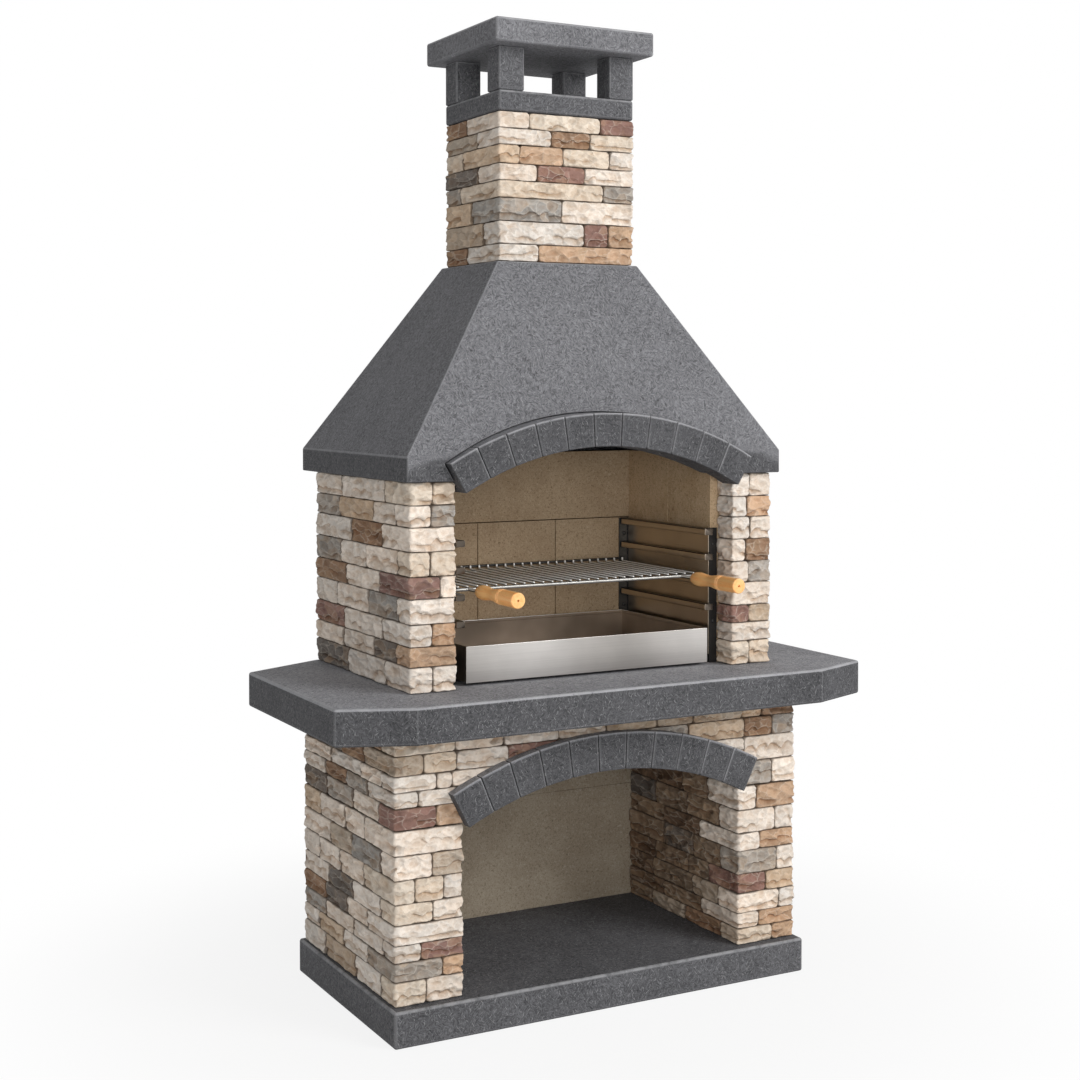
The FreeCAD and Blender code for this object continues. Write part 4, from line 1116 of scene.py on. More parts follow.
def make_break_tree():
    """A tree that pushes the points of stones by the broken pattern."""
    tree, inputs = new_tree("Broken stone face", Float=["Strength"], Material=["Material"])
    place = Value(add_node(tree, "GeometryNodeInputPosition"))
    kept = keep(inputs["Geometry"], "spot", place, "FLOAT_VECTOR")
    spot = named(tree, "spot", "FLOAT_VECTOR")
    face = broken_face(spot, *[named(tree, name) for name in ("walk", "lift", "chance")])
    push = face["height"] * named(tree, "hold") * inputs["Strength"]
    broken = then(kept, "SetPosition", {"Offset": named(tree, "outward", "FLOAT_VECTOR") * push})
    end_tree(broken, inputs["Material"])
    return tree


break_tree = make_break_tree()
print("tree:", break_tree.name, len(break_tree.nodes), "nodes")

# %% [markdown]
# ## Colours of the stones
# The cladding is mostly cream, with tan, ochre, brown, mauve and grey stones strewn through it.
# The stones that are seen first are listed, a letter each, course by course from the top down.
# The rest are drawn at random with fixed seeds, so every run gives the same wall.

# %% Say which stone has which colour
TONES = {
    "c": paint(232, 221, 209),  # cream
    "w": paint(226, 210, 191),  # wheat
    "t": paint(208, 186, 162),  # tan
    "o": paint(202, 170, 142),  # ochre
    "b": paint(160, 130, 106),  # brown
    "m": paint(152, 120, 110),  # mauve
    "g": paint(172, 165, 157),  # grey
    "d": paint(124, 116, 109),  # dark grey
    "u": paint(190, 174, 156),  # buff
    # k and n are buff and brown darkened as painted shade.
    "k": paint(146, 126, 106),  # shaded buff
    "n": paint(118, 96, 78),  # shaded brown
}
STREWN = {"c": 50, "w": 14, "t": 9, "o": 5, "b": 7, "m": 4, "g": 7, "d": 2, "u": 4}
# The inner walls draw from a darker mix, painted shade.
PAINTED_SHADE_MIX = {"c": 34, "w": 14, "t": 14, "o": 8, "b": 14, "m": 5, "g": 6, "d": 3, "u": 6}
FRONT_TONES = {
    "left_leg_stones": "c cu wwc wc c cm go wc",
    "right_leg_stones": "co cc co gc mt cc co wo",
    "left_shoulder_stones": "w uw cc cc mo",
    "right_shoulder_stones": "tuutb tbg u cc gc",
    "left_pier_stones": "ww cg c ww mc c co o cc",
    "right_pier_stones": "cc co cc cb cg c mt c ww",
    "chimney_stones": "cwm cbw towc cmc wg gc cmo co",
}
SIDE_TONES = {
    "left_pier_stones": "ccc gtcg cbc gcct bcm ccgc mcc ccdb dcg",
    "chimney_stones": "b u w d g t u b",
    "left_leg_stones": "tcc cug ccc cdc bdc gcc ctc cuc",
    "left_shoulder_stones": "cco cgb ccc cbg dgc",
    # The right leg's inner face takes dark letters, painted shade.
    "right_leg_stones": "nnk dkk kn kdk nkk nku nk kub",
}
SAME_COURSE = 4 * MM
LIGHTER = (0.90, 1.08)
WARMER = (-0.03, 0.03)


def jitter(colour, dice):
    """The same colour, a little lighter or darker, warmer or cooler."""
    light = dice.uniform(*LIGHTER)
    warm = dice.uniform(*WARMER)
    return (colour[0] * light * (1 + warm), colour[1] * light, colour[2] * light * (1 - warm), 1.0)


def courses_of(stones):
    """The stones of a wall in courses from the bottom up, each course in the order of the walk."""
    courses = []
    for stone in sorted(stones, key=lambda item: item["low"]):
        if not courses or stone["low"] - courses[-1][0]["low"] > SAME_COURSE:
            courses.append([])
        courses[-1].append(stone)
    return [sorted(course, key=lambda item: item["runs"][0][:2]) for course in courses]


def pick_tones(node, stones, front_stretch, at_end, mix, dice):
    """A colour for each stone, from the listed letters where there are any."""
    fronts = FRONT_TONES.get(node, "").split()[::-1]
    sides = SIDE_TONES.get(node, "").split()[::-1]
    for i, course in enumerate(courses_of(stones)):
        for stone in course:
            stone["letter"] = dice.choices(list(mix), list(mix.values()))[0]
            stone["stretches"] = [run[0] for run in stone["runs"]]
        front = [stone for stone in course if front_stretch in stone["stretches"]]
        others = [stone for stone in course if front_stretch not in stone["stretches"]]
        side = [stone for stone in others if min(stone["stretches"]) < front_stretch]
        for row, words in ((front, fronts), (side, sides)):
            word = words[i] if i < len(words) else ""
            chosen = zip(row[::-1], word[::-1]) if at_end else zip(row, word)
            for stone, letter in chosen:
                stone["letter"] = letter
    for stone in stones:
        stone["tone"] = jitter(TONES[stone["letter"]], dice)


print("tones:", " ".join(TONES))

# %% [markdown]
# ## Where the walls stand
# A wall takes its path from the sides of its box, and its stones from the blocks in the frame.
# Each stone is let out a little, so that the joints look as narrow as those of a real wall.
# Stones over the wood store end on the round of its arch, so they get a lower edge that follows the circle.

# %% Helpers for walls
STORE_ARCH_SPAN = 0.722
STORE_ARCH_RISE = 0.088
ARCH_JOINT = 2 * MM


def arch_circle(span, rise, springing):
    """Radius and centre height of an arch's underside."""
    radius = (span * span / 4 + rise * rise) / (2 * rise)
    return radius, springing + rise - radius


def over_store_arch(x):
    """The lowest that a stone may reach at a place along the front."""
    radius, centre = arch_circle(STORE_ARCH_SPAN, STORE_ARCH_RISE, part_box("store_arch_stones")[0][2])
    return centre + np.sqrt(np.maximum((radius + ARCH_JOINT) ** 2 - x**2, 0))


def wall_path(node, sides):
    """The path of a wall along the named sides of its box, with the inside on the left."""
    low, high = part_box(node)
    ends = {
        "left": ((low[0], high[1]), (low[0], low[1])),
        "front": ((low[0], low[1]), (high[0], low[1])),
        "right": ((high[0], low[1]), (high[0], high[1])),
        "back": ((high[0], high[1]), (low[0], high[1])),
    }
    path = [ends[sides[0]][0]] + [ends[side][1] for side in sides]
    return [np.array(point, float) for point in path]


def wall_stones(node, path):
    """The stones of a wall, with the runs of its path on which they show."""
    stones = []
    for points in read_blocks(node):
        runs = face_runs(points, path)
        if runs:
            stones.append({"runs": runs, "low": points[:, 2].min(), "high": points[:, 2].max()})
    return stones


def widen(stone, path, low, high):
    """Takes up most of the joint around a stone, but not past the ends of its wall."""
    runs = [list(run) for run in stone["runs"]]
    last = runs[-1][0]
    runs[0][1] = max(runs[0][1] - JOINT_FILL, 0.0)
    runs[-1][2] = min(runs[-1][2] + JOINT_FILL, np.linalg.norm(path[last + 1] - path[last]))
    bottom = max(stone["low"] - JOINT_FILL, low[2])
    top = min(stone["high"] + JOINT_FILL, high[2])
    return runs, path, bottom, top


print("store arch radius:", round(arch_circle(STORE_ARCH_SPAN, STORE_ARCH_RISE, 0)[0], 3), "m")

# %% [markdown]
# ## Laying the walls
# Every wall is one piece: its stones are shaped one by one, joined, and broken by the tree.
# What the tree and the finish need at each point goes along as attributes of the mesh.

# %% Lay all the walls
STONE_DEPTH = 28 * MM
CHIMNEY_STONE_DEPTH = 23 * MM
BREAK_STRENGTH = 1.0
POINT_LAYERS = {
    "outward": ("FLOAT_VECTOR", "vector"),
    "hold": ("FLOAT", "value"),
    "lift": ("FLOAT", "value"),
    "walk": ("FLOAT", "value"),
    "rim": ("FLOAT", "value"),
    "chance": ("FLOAT", "value"),
    "tone": ("FLOAT_COLOR", "color"),
}


def wall_mesh(node, layers, faces):
    """One mesh for all the stones of a wall. Doubled points are merged where they are hidden."""
    mesh = bpy.data.meshes.new(node)
    mesh.from_pydata(layers["points"].tolist(), [], faces)
    for name, (kind, field) in POINT_LAYERS.items():
        mesh.attributes.new(name, kind, "POINT").data.foreach_set(field, layers[name].ravel())
    work = bmesh.new()
    work.from_mesh(mesh)
    work.verts.ensure_lookup_table()
    hidden = [work.verts[i] for i in np.flatnonzero(layers["hold"] == 0)]
    bmesh.ops.remove_doubles(work, verts=hidden, dist=WELD)
    work.to_mesh(mesh)
    work.free()
    mesh.shade_smooth()
    return mesh


def lay_wall(node, sides, seed, depth=STONE_DEPTH, underside=None, mix=STREWN, at_end=False):
    """Builds a wall. At_end says that its letters are counted from the far end of each course."""
    dice = random.Random(seed)
    path = wall_path(node, sides)
    stones = wall_stones(node, path)
    front_stretch = sides.index("front") if "front" in sides else -1
    pick_tones(node, stones, front_stretch, at_end, mix, dice)
    layers = {name: [] for name in ("points", *POINT_LAYERS)}
    faces = []
    start = 0
    for stone in stones:
        made, own_faces = shape_stone(*widen(stone, path, *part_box(node)), depth, dice, underside)
        count = len(made["points"])
        made["chance"] = np.full(count, dice.random())
        made["tone"] = np.tile(stone["tone"], (count, 1))
        for name, values in made.items():
            layers[name].append(values)
        faces += [tuple(start + index for index in face) for face in own_faces]
        start += count
    joined = {name: np.concatenate(values) for name, values in layers.items()}
    wall = new_piece("dressed_" + node, wall_mesh(node, joined, faces))
    grow(wall, break_tree, strength=BREAK_STRENGTH, material=split_stone)
    for name in ("outward", "hold"):
        wall.data.attributes.remove(wall.data.attributes[name])
    hand_over(wall, "split_stone", node)
    print(node, len(stones), "stones,", len(wall.data.polygons), "faces")


THREE_SIDES = ("left", "front", "right")
lay_wall("left_leg_stones", THREE_SIDES, 11)
lay_wall("right_leg_stones", THREE_SIDES, 12, mix=PAINTED_SHADE_MIX)
lay_wall("left_shoulder_stones", ("left", "front"), 13, underside=over_store_arch)
lay_wall("right_shoulder_stones", ("front", "right"), 14, underside=over_store_arch, at_end=True)
lay_wall("left_inner_stones", ("right",), 15, mix=PAINTED_SHADE_MIX)
lay_wall("right_inner_stones", ("left",), 16, mix=PAINTED_SHADE_MIX)
lay_wall("left_pier_stones", THREE_SIDES, 17)
lay_wall("right_pier_stones", THREE_SIDES, 18)
lay_wall("chimney_stones", (*THREE_SIDES, "back"), 19, depth=CHIMNEY_STONE_DEPTH)

# %% [markdown]
# ## A tree for arches
# Both arches are rings of cast wedges with fine open joints and eased edges.
# One tree makes either: it places a rounded block for each wedge and bends it round the arch's centre.
# The lowest wedges of the hood's arch are notched over the piers, so the tree pulls their backs in there.

# %% Build the tree for arches
WEDGE_GRID = 12
WORN_EDGE = (0.15, 0.60)
WEAR_CLOUDS = {"scale": 75.0, "detail": 3.0}
ARCH_SIZES = [
    "Radius", "Ring", "Depth", "Half angle", "Joint", "Ease", "Wear",
    "Face", "Centre height", "Heel side", "Heel face", "Heel top",
]


def row_of_blocks(tree, count):
    """A cube of fine squares for each wedge, all at the origin, with the wedge's number at its points."""
    line = Value(add_node(tree, "GeometryNodeMeshLine", {"Count": count, "Offset": (0, 0, 0)}))
    numbered = keep(line, "wedge", Value(add_node(tree, "GeometryNodeInputIndex")))
    grid = {"Vertices " + axis: WEDGE_GRID for axis in "XYZ"}
    block = Value(add_node(tree, "GeometryNodeMeshCube", {"Size": (2, 2, 2), **grid}))
    inputs = {"Points": numbered, "Instance": block}
    copies = Value(add_node(tree, "GeometryNodeInstanceOnPoints", inputs))
    return then(copies, "RealizeInstances")


def eased_block(place, half, ease):
    """Points of a cube moved to a block with rounded edges, and how much of an edge each is on."""
    full = calc("SINE", place * (math.pi / 2)) * half
    rounds = vector(ease, ease, ease)
    core = half - rounds
    inner = calc("MAXIMUM", calc("MINIMUM", full, core), core * -1.0)
    beyond = full - inner
    past = parts_of(calc("ABSOLUTE", beyond) / rounds)
    most = calc("MAXIMUM", calc("MAXIMUM", past[0], past[1]), past[2])
    edge = between(past[0] + past[1] + past[2] - most, *WORN_EDGE)
    return inner + calc("NORMALIZE", beyond) * ease, edge


def make_arch_tree():
    """A tree that makes a ring of wedges from its sizes. The heel is where a pier takes their room."""
    tree, inputs = new_tree("Arch of wedge stones", Int=["Count"], Float=ARCH_SIZES, Material=["Material"])
    sizes = [inputs[name] for name in ARCH_SIZES]
    radius, ring, depth, half_angle, joint, ease, wear, face, centre, heel_side, heel_face, heel_top = sizes
    middle = radius + ring / 2.0
    step = half_angle * 2.0 / inputs["Count"]
    half = vector((step * middle - joint) / 2.0, depth / 2.0, ring / 2.0)
    place, edge = eased_block(Value(add_node(tree, "GeometryNodeInputPosition")), half, ease)
    blocks = keep(row_of_blocks(tree, inputs["Count"]), "edge", edge)

    along, inward, outward = parts_of(place)
    angle = (named(tree, "wedge") + 0.5) * step - half_angle + along / middle
    x = (middle + outward) * calc("SINE", angle)
    z = centre + (middle + outward) * calc("COSINE", angle)
    y = face + depth / 2.0 + inward
    over_pier = calc("GREATER_THAN", calc("ABSOLUTE", x), heel_side) * calc("LESS_THAN", z, heel_top)
    y = y - calc("MAXIMUM", y - heel_face, 0.0) * over_pier
    bent = then(blocks, "SetPosition", {"Position": vector(x, y, z)})

    rough = clouds(Value(add_node(tree, "GeometryNodeInputPosition")), **WEAR_CLOUDS) - 0.5
    normal = Value(add_node(tree, "GeometryNodeInputNormal"))
    worn = then(bent, "SetPosition", {"Offset": normal * (rough * wear)})
    end_tree(then(worn, "SetShadeSmooth"), inputs["Material"])
    return tree


arch_tree = make_arch_tree()
print("tree:", arch_tree.name, len(arch_tree.nodes), "nodes")

# %% [markdown]
# ## Two arches
# The store's arch spans the wood store between the legs, and the hood's arch the fire box between the piers.
# Their spans, rises and rings are those of the construction, and their places come from their boxes.

# %% Build the arches
ARCH_STONES = 11
ARCH_EASE = 2.4 * MM
ARCH_WEAR = 1.1 * MM
STORE_ARCH_RING = 0.085
HOOD_ARCH_SPAN = 0.714
HOOD_ARCH_RISE = 0.097
HOOD_ARCH_RING = 0.076
NO_HEEL = (1.0, 1.0, 0.0)


def build_arch(node, span, rise, ring, heel):
    """An arch takes the place of a node. Heel gives the inner side, front and top of a pier."""
    low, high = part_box(node)
    radius, centre = arch_circle(span, rise, low[2])
    arch = new_piece("dressed_" + node, bpy.data.meshes.new(node))
    sizes = {"radius": radius, "ring": ring, "depth": high[1] - low[1], "joint": ARCH_JOINT}
    sizes |= {"half_angle": math.asin(span / 2 / radius), "ease": ARCH_EASE, "wear": ARCH_WEAR}
    sizes |= {"face": low[1], "centre_height": centre}
    sizes |= {"heel_side": heel[0], "heel_face": heel[1], "heel_top": heel[2]}
    grow(arch, arch_tree, count=ARCH_STONES, material=arch_stone, **sizes)
    hand_over(arch, "cast_stone", node)
    print(node, len(arch.data.polygons), "faces")


pier_low, pier_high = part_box("right_pier_stones")
pier_heel = (pier_low[0] - ARCH_JOINT, pier_low[1] - ARCH_JOINT, pier_high[2])
build_arch("hood_arch_stones", HOOD_ARCH_SPAN, HOOD_ARCH_RISE, HOOD_ARCH_RING, pier_heel)
build_arch("store_arch_stones", STORE_ARCH_SPAN, STORE_ARCH_RISE, STORE_ARCH_RING, NO_HEEL)

# %% [markdown]
# ## Cast slabs, hood and lining
# The slabs, hood, posts and lining keep the shape of their solids, but a cast edge is never quite sharp.
# A copy of each solid is welded, its flat faces are cleaned, and its sharp edges get a small round.
# The big slabs have theirs already, so a width of 0 leaves them as they are.
# Faces that are long and narrow belong to a round, and are marked as edge for the finish.
# Weighted normals keep the wide faces flat to the eye beside the narrow rounds.

# %% Ease the edges of the cast pieces
FLAT_ANGLE = math.radians(2)
SHARP_ANGLE = math.radians(24)
NARROW = 5 * MM
FULL_WEIGHT = 100
HOOD_EASE = 3 * MM
POST_EASE = 4 * MM
LINING_EASE = 1.2 * MM
PANEL_EASE = 1.5 * MM


def ease_edges(work, width, segments):
    """Rounds the sharp edges of a mesh."""
    sharp = [edge for edge in work.edges if edge.is_manifold and edge.calc_face_angle() > SHARP_ANGLE]
    shape = {"offset": width, "offset_type": "OFFSET", "segments": segments, "profile": 0.5}
    bmesh.ops.bevel(work, geom=sharp, affect="EDGES", clamp_overlap=True, **shape)


def eased_copy(node, width, material, slot, segments=3):
    """A copy of a solid with eased edges takes its place."""
    work = bmesh.new()
    work.from_mesh(frame["nodes"][node].data)
    bmesh.ops.remove_doubles(work, verts=work.verts, dist=WELD)
    bmesh.ops.dissolve_limit(work, angle_limit=FLAT_ANGLE, verts=work.verts, edges=work.edges)
    if width:
        ease_edges(work, width, segments)
    edge_layer = work.faces.layers.float.new("edge")
    for face in work.faces:
        longest = max(edge.calc_length() for edge in face.edges)
        face[edge_layer] = float(2 * face.calc_area() / longest < NARROW)
    bmesh.ops.triangulate(work, faces=[face for face in work.faces if len(face.verts) > 4])
    mesh = bpy.data.meshes.new(node)
    work.to_mesh(mesh)
    work.free()
    mesh.shade_smooth()
    piece = new_piece("dressed_" + node, mesh, material)
    weigh = piece.modifiers.new("weigh", "WEIGHTED_NORMAL")
    weigh.weight = FULL_WEIGHT
    weigh.keep_sharp = True
    settle(piece)
    hand_over(piece, slot, node)
    print(node, len(piece.data.polygons), "faces")


eased_copy("worktop", 0.0, worktop_stone, "cast_stone")
eased_copy("base_plinth", 0.0, cast_stone, "cast_stone")
eased_copy("chimney_collar", 0.0, cast_stone, "cast_stone")
eased_copy("chimney_cap", 0.0, cap_stone, "cast_stone")
eased_copy("hood", HOOD_EASE, hood_stone, "cast_stone")
for node in ("left_front_cap_post", "right_front_cap_post", "left_rear_cap_post", "right_rear_cap_post"):
    eased_copy(node, POST_EASE, cast_stone, "cast_stone")
for node in ("rear_lining_top", "rear_lining_centre", "left_rear_lining", "right_rear_lining"):
    eased_copy(node, LINING_EASE, chamotte, "refractory", segments=2)
for side in ("left", "right"):
    for end in ("front", "rear"):
        eased_copy(side + "_side_lining_" + end, LINING_EASE, pale_chamotte, "refractory", segments=2)
for node in ("lower_back_panel", "upper_back_panel"):
    eased_copy(node, PANEL_EASE, panel_stone, "concrete", segments=2)

# %% [markdown]
# ## Rows, turned pieces and rods
# What repeats in the metalwork is a row: four runners on each side, the cooking wires, and pairs of screws.
# One tree makes all of them, from one copy, a count and a step.
# Round pieces are turned: a profile of distances and radii goes once round its axis, which runs along Y.

# %% Helpers for rows, turned pieces and rods
QUARTER_STEPS = 4
CREASE = math.radians(40)
ROD_END = ((0.0, 0.35), (0.15, 0.75), (0.5, 1.0))
HOLE_FLOOR = 0.3


def make_row_tree():
    """A tree that repeats the mesh that it is given."""
    tree, inputs = new_tree("Row of copies", Int=["Count"], Vector=["Step"], Material=["Material"])
    steps = {"Count": inputs["Count"], "Offset": inputs["Step"]}
    line = Value(add_node(tree, "GeometryNodeMeshLine", steps))
    copied = {"Points": line, "Instance": inputs["Geometry"]}
    end_tree(Value(add_node(tree, "GeometryNodeInstanceOnPoints", copied)), inputs["Material"])
    return tree


row_tree = make_row_tree()


def repeat(node, mesh, count, step, material, slot):
    """A row of copies of a mesh takes the place of a node."""
    row = new_piece("dressed_" + node, mesh)
    grow(row, row_tree, count=count, step=step, material=material)
    hand_over(row, slot, node)
    print(node, count, "copies,", len(row.data.polygons), "faces")


def quarter_turn(start=0):
    """The angles of a quarter turn, from a start in degrees."""
    return [math.radians(start + 90 * k / QUARTER_STEPS) for k in range(QUARTER_STEPS + 1)]


def full_turn(sides):
    """The angles of a full turn."""
    return [2 * math.pi * k / sides for k in range(sides)]


def rings_to_mesh(name, rings):
    """A closed skin over rings of points. The first and the last ring are filled."""
    sides = len(rings[0])
    faces = [tuple(range(sides))[::-1]]
    for start in range(0, (len(rings) - 1) * sides, sides):
        for k in range(sides):
            after = (k + 1) % sides
            faces.append((start + k, start + after, start + sides + after, start + sides + k))
    faces.append(tuple((len(rings) - 1) * sides + k for k in range(sides)))
    mesh = bpy.data.meshes.new(name)
    mesh.from_pydata([point for ring in rings for point in ring], [], faces)
    work = bmesh.new()
    work.from_mesh(mesh)
    bmesh.ops.recalc_face_normals(work, faces=work.faces)
    work.to_mesh(mesh)
    work.free()
    mesh.shade_smooth()
    mesh.set_sharp_from_angle(angle=CREASE)
    return mesh


def turned(name, profile, centre, sides):
    """A turned piece along Y. The profile gives places on Y and radii."""
    x, z = centre
    rings = []
    for y, radius in profile:
        rings.append([(x + radius * math.cos(a), y, z + radius * math.sin(a)) for a in full_turn(sides)])
    return rings_to_mesh(name, rings)


def rod_along(name, path, radius, sides):
    """A round rod along a path in one upright plane, with rounded ends."""
    path = [np.array(point, float) for point in path]
    aside = np.array(X, float)
    rings = []
    for i, point in enumerate(path):
        ahead = path[min(i + 1, len(path) - 1)] - path[max(i - 1, 0)]
        ahead = ahead / np.linalg.norm(ahead)
        up = np.cross(aside, ahead)
        rounds = [(0.0, 1.0)]
        if i == 0:
            rounds = ROD_END
        if i == len(path) - 1:
            rounds = [(-shift, share) for shift, share in reversed(ROD_END)]
        for shift, share in rounds:
            centre = point + ahead * radius * shift
            offsets = [aside * math.cos(a) + up * math.sin(a) for a in full_turn(sides)]
            rings.append([tuple(centre + radius * share * offset) for offset in offsets])
    return rings_to_mesh(name, rings)


print("tree:", row_tree.name, len(row_tree.nodes), "nodes")

# %% [markdown]
# ## Runners, panels and screws
# The runners are folded from sheet, with a round nose towards the grate and closed ends.
# The screws hold the uprights to the lining, and each has a low round head with a small socket.
# The side panels and the ember tray are the solids themselves, with the edges of cut sheet.

# %% Build the rack
RUNNERS = 4
RUNNER_HEIGHT = 15 * MM
RUNNER_NOSE = 3 * MM
RUNNER_FOLD = 0.8 * MM
SCREW_SOCKET = 2.1 * MM
SOCKET_RIM = 0.3 * MM
HEAD_HEIGHT = 3 * MM
SHANK = 3 * MM
SCREW_SIDES = 18
PANEL_EDGE = 0.5 * MM
TRAY_EDGE = 0.9 * MM


def runner_mesh(node):
    """The lowest runner of a side."""
    low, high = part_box(node)
    nose_x, back_x = (high[0], low[0]) if low[0] < 0 else (low[0], high[0])
    inward = 1 if nose_x > back_x else -1
    top = low[2] + RUNNER_HEIGHT
    outline = [(back_x, low[2])]
    for middle_z, start in ((low[2] + RUNNER_NOSE, -90), (top - RUNNER_NOSE, 0)):
        for angle in quarter_turn(start):
            x = nose_x - inward * RUNNER_NOSE * (1 - math.cos(angle))
            outline.append((x, middle_z + RUNNER_NOSE * math.sin(angle)))
    outline.append((back_x, top))
    outline = np.array(outline)
    aside = np.sign(outline - (outline.min(axis=0) + outline.max(axis=0)) / 2)
    ends = [(low[1], RUNNER_FOLD), (low[1] + RUNNER_FOLD, 0)]
    ends += [(high[1] - RUNNER_FOLD, 0), (high[1], RUNNER_FOLD)]
    rings = [[(x, y, z) for x, z in outline - aside * inset] for y, inset in ends]
    return rings_to_mesh(node, rings)


def screw_mesh(low, high):
    """One screw along Y between the corners of its box, with its head in front."""
    radius = (high[2] - low[2]) / 2
    front = low[1]
    profile = [
        (front + HEAD_HEIGHT / 2, HOLE_FLOOR * SCREW_SOCKET),
        (front + HEAD_HEIGHT / 2, SCREW_SOCKET),
        (front + 0.1 * HEAD_HEIGHT, SCREW_SOCKET),
        (front, SCREW_SOCKET + SOCKET_RIM),
        (front + 0.1 * HEAD_HEIGHT, 0.75 * radius),
        (front + 0.4 * HEAD_HEIGHT, 0.95 * radius),
        (front + HEAD_HEIGHT, radius),
        (front + HEAD_HEIGHT, SHANK),
        (high[1], SHANK),
    ]
    return turned("screw", profile, ((low[0] + high[0]) / 2, (low[2] + high[2]) / 2), SCREW_SIDES)


def build_screws(node):
    """The screws of the lower row are made one by one, and the upper row is their copy."""
    boxes = [(points.min(axis=0), points.max(axis=0)) for points in read_blocks(node)]
    lowest = min(low[2] for low, high in boxes)
    highest = max(low[2] for low, high in boxes)
    work = bmesh.new()
    for low, high in boxes:
        if low[2] < lowest + HEAD_HEIGHT:
            work.from_mesh(screw_mesh(low, high))
    mesh = bpy.data.meshes.new(node)
    work.to_mesh(mesh)
    work.free()
    repeat(node, mesh, 2, (0.0, 0.0, highest - lowest), lacquer, "black_steel")


def build_runners(node):
    low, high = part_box(node)
    step = (high[2] - low[2] - RUNNER_HEIGHT) / (RUNNERS - 1)
    repeat(node, runner_mesh(node), RUNNERS, (0.0, 0.0, step), runner_steel, "stainless")


build_runners("left_rack_runners")
build_runners("right_rack_runners")
build_screws("rack_screws")
eased_copy("left_rack_panel", PANEL_EDGE, rack_steel, "stainless", segments=2)
eased_copy("right_rack_panel", PANEL_EDGE, rack_steel, "stainless", segments=2)
eased_copy("ember_tray", TRAY_EDGE, tray_steel, "stainless", segments=2)

# %% [markdown]
# ## Cooking wires
# The cooking wires run from front to back and turn up at the rear, where a rail ties them together.
# One wire is a rod along its path, and the row tree lays the rest beside it.

# %% Build the wires
WIRES = 27
WIRE = 5 * MM
WIRE_BEND = 6 * MM
WIRE_SIDES = 10


def build_wires(node):
    low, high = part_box(node)
    x = low[0] + WIRE / 2
    z = low[2] + WIRE / 2
    back = high[1] - WIRE / 2
    path = [(x, low[1], z), (x, (low[1] + high[1]) / 2, z)]
    for angle in quarter_turn():
        y = back - WIRE_BEND + WIRE_BEND * math.sin(angle)
        path.append((x, y, z + WIRE_BEND * (1 - math.cos(angle))))
    path.append((x, back, high[2]))
    step = (high[0] - low[0] - WIRE) / (WIRES - 1)
    wire = rod_along(node, path, WIRE / 2, WIRE_SIDES)
    repeat(node, wire, WIRES, (step, 0.0, 0.0), bright_rod, "grate_steel")


build_wires("grate_wires")

# %% [markdown]
# ## Handles
# Each handle is turned from beech: a bulb, a waist, a straight grip with two rings, and a hole in its end.
# Bulb and waist are halves of a wave, so one formula gives the radius at any distance from the neck.
# The rod of the grate ends in a thinner tang, which sits in the handle and stops before the hole.

# %% Build the handles and their rods
TANG = 2.5 * MM
TANG_PLAY = 0.1 * MM
END_HOLE = 2.4 * MM
END_HOLE_RIM = 0.4 * MM
END_HOLE_DEPTH = 14 * MM
NECK, BULB, WAIST = 8 * MM, 16.5 * MM, 13 * MM
BULB_AT, WAIST_AT, GRIP_AT = 28 * MM, 69 * MM, 114 * MM
BULB_FULLNESS = 0.6
RING_PLACES = (117.5 * MM, 124.5 * MM)
RING_CUT = 1.9 * MM
END_ROUND = 3 * MM
GRIP_STEPS = 70
HANDLE_SIDES = 40
ROD_SIDES = 20


def grip_radius(reach, full):
    """The radius of a handle at a distance from its neck."""
    if reach < BULB_AT:
        return NECK + (BULB - NECK) * math.sin(math.pi / 2 * (reach / BULB_AT) ** BULB_FULLNESS)
    if reach < WAIST_AT:
        swing = math.cos(math.pi * (reach - BULB_AT) / (WAIST_AT - BULB_AT))
        return WAIST + (BULB - WAIST) * (1 + swing) / 2
    if reach < GRIP_AT:
        swing = math.cos(math.pi * (reach - WAIST_AT) / (GRIP_AT - WAIST_AT))
        return WAIST + (full - WAIST) * (1 - swing) / 2
    cuts = [max(0.0, 1 - ((reach - place) / RING_CUT) ** 2) for place in RING_PLACES]
    return full - RING_CUT * math.sqrt(max(cuts))


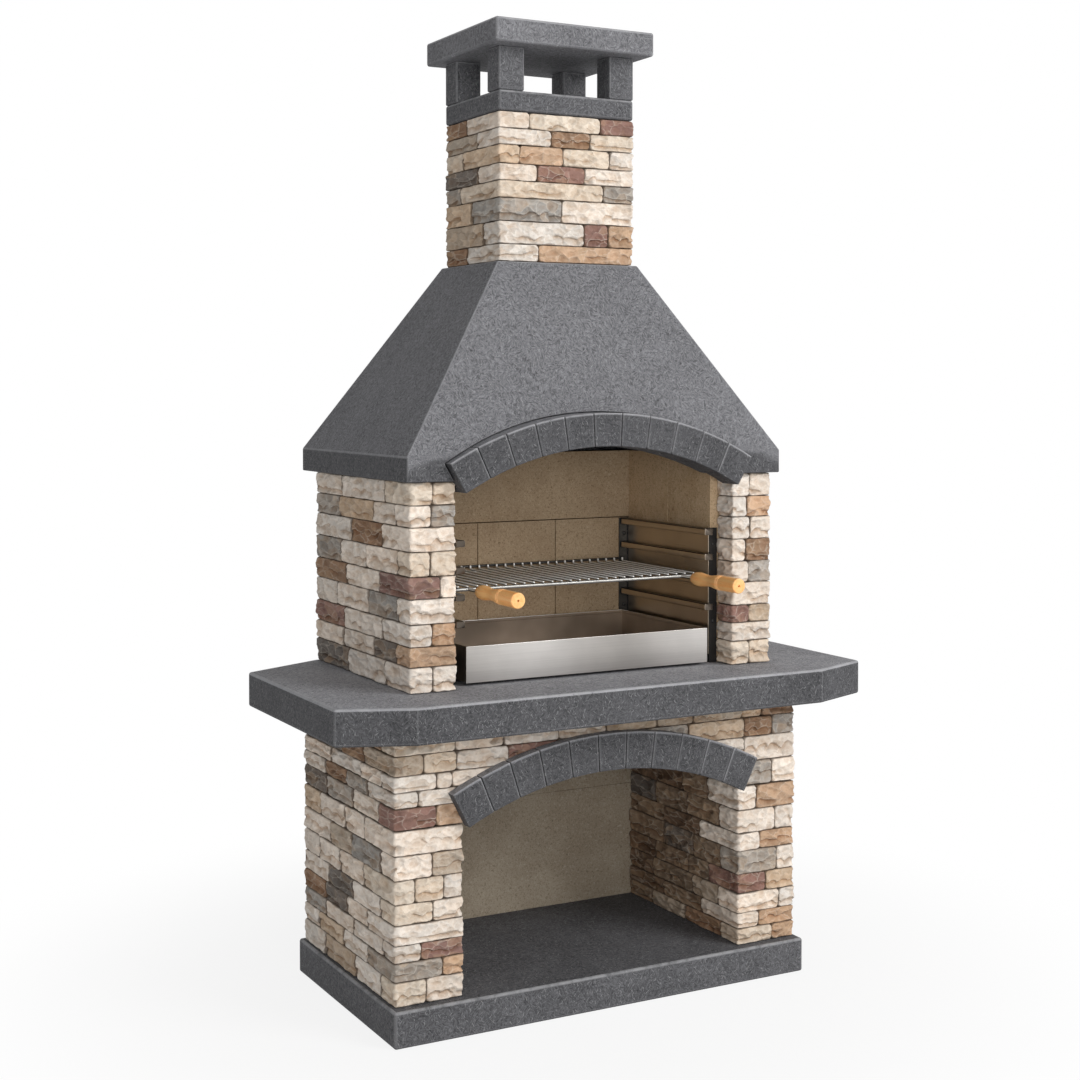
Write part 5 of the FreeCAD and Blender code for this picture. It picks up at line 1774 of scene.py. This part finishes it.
def handle_profile(low, high, full):
    """Places on Y and radii, from the neck over the grip to the bottom of the end's hole."""
    length = high - low
    reaches = [length * k / GRIP_STEPS for k in range(GRIP_STEPS)]
    reaches = [reach for reach in reaches if reach < length - END_ROUND]
    for place in RING_PLACES:
        reaches += [place + RING_CUT * k / 3 for k in range(-3, 4)]
    profile = [(high, TANG)]
    profile += [(high - reach, grip_radius(reach, full)) for reach in sorted(reaches)]
    for angle in quarter_turn():
        profile.append((low + END_ROUND * (1 - math.sin(angle)), full - END_ROUND * (1 - math.cos(angle))))
    profile += [(low, END_HOLE + END_HOLE_RIM), (low + END_HOLE_RIM, END_HOLE)]
    return profile + [(low + END_HOLE_DEPTH, END_HOLE), (low + END_HOLE_DEPTH, HOLE_FLOOR * END_HOLE)]


def build_handle(side):
    low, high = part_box(side + "_wooden_handle")
    centre = ((low[0] + high[0]) / 2, (low[2] + high[2]) / 2)
    profile = handle_profile(low[1], high[1], (high[0] - low[0]) / 2)
    mesh = turned("handle", profile, centre, HANDLE_SIDES)
    handle = new_piece("dressed_" + side + "_wooden_handle", mesh, beech)
    hand_over(handle, "beech", side + "_wooden_handle")

    rod_low, rod_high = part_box(side + "_handle_rod")
    thick = (rod_high[0] - rod_low[0]) / 2
    shoulder = high[1] + TANG_PLAY
    profile = [(rod_high[1], thick), (shoulder, thick), (shoulder, TANG), (low[1] + 2 * END_HOLE_DEPTH, TANG)]
    rod = new_piece("dressed_" + side + "_handle_rod", turned("rod", profile, centre, ROD_SIDES), bright_rod)
    hand_over(rod, "grate_steel", side + "_handle_rod")
    print(side, "handle:", len(handle.data.polygons), "faces")


build_handle("left")
build_handle("right")

# %% [markdown]
# ## Solids that keep their shape
# Some solids are right as they are: hidden cores, plain angle, flat bar and bent rod.
# They only need their finish.

# %% Finish the solids that stay
KEPT = {
    concrete: [
        "left_leg_core",
        "right_leg_core",
        "store_lintel",
        "left_pier_core",
        "right_pier_core",
        "firebox_back_wall",
        "lower_flue_block",
        "upper_flue_block",
    ],
    lacquer: [
        "left_front_upright",
        "right_front_upright",
        "left_rear_upright",
        "right_rear_upright",
        "front_cross_bar",
        "rear_cross_bar",
    ],
    frame_rod: ["grate_frame"],
    sooted_rod: ["grate_lip_rail"],
}
for material, nodes in KEPT.items():
    for node in nodes:
        for material_slot in frame["nodes"][node].material_slots:
            material_slot.material = material
    print(material.name, "on", len(nodes), "solids")
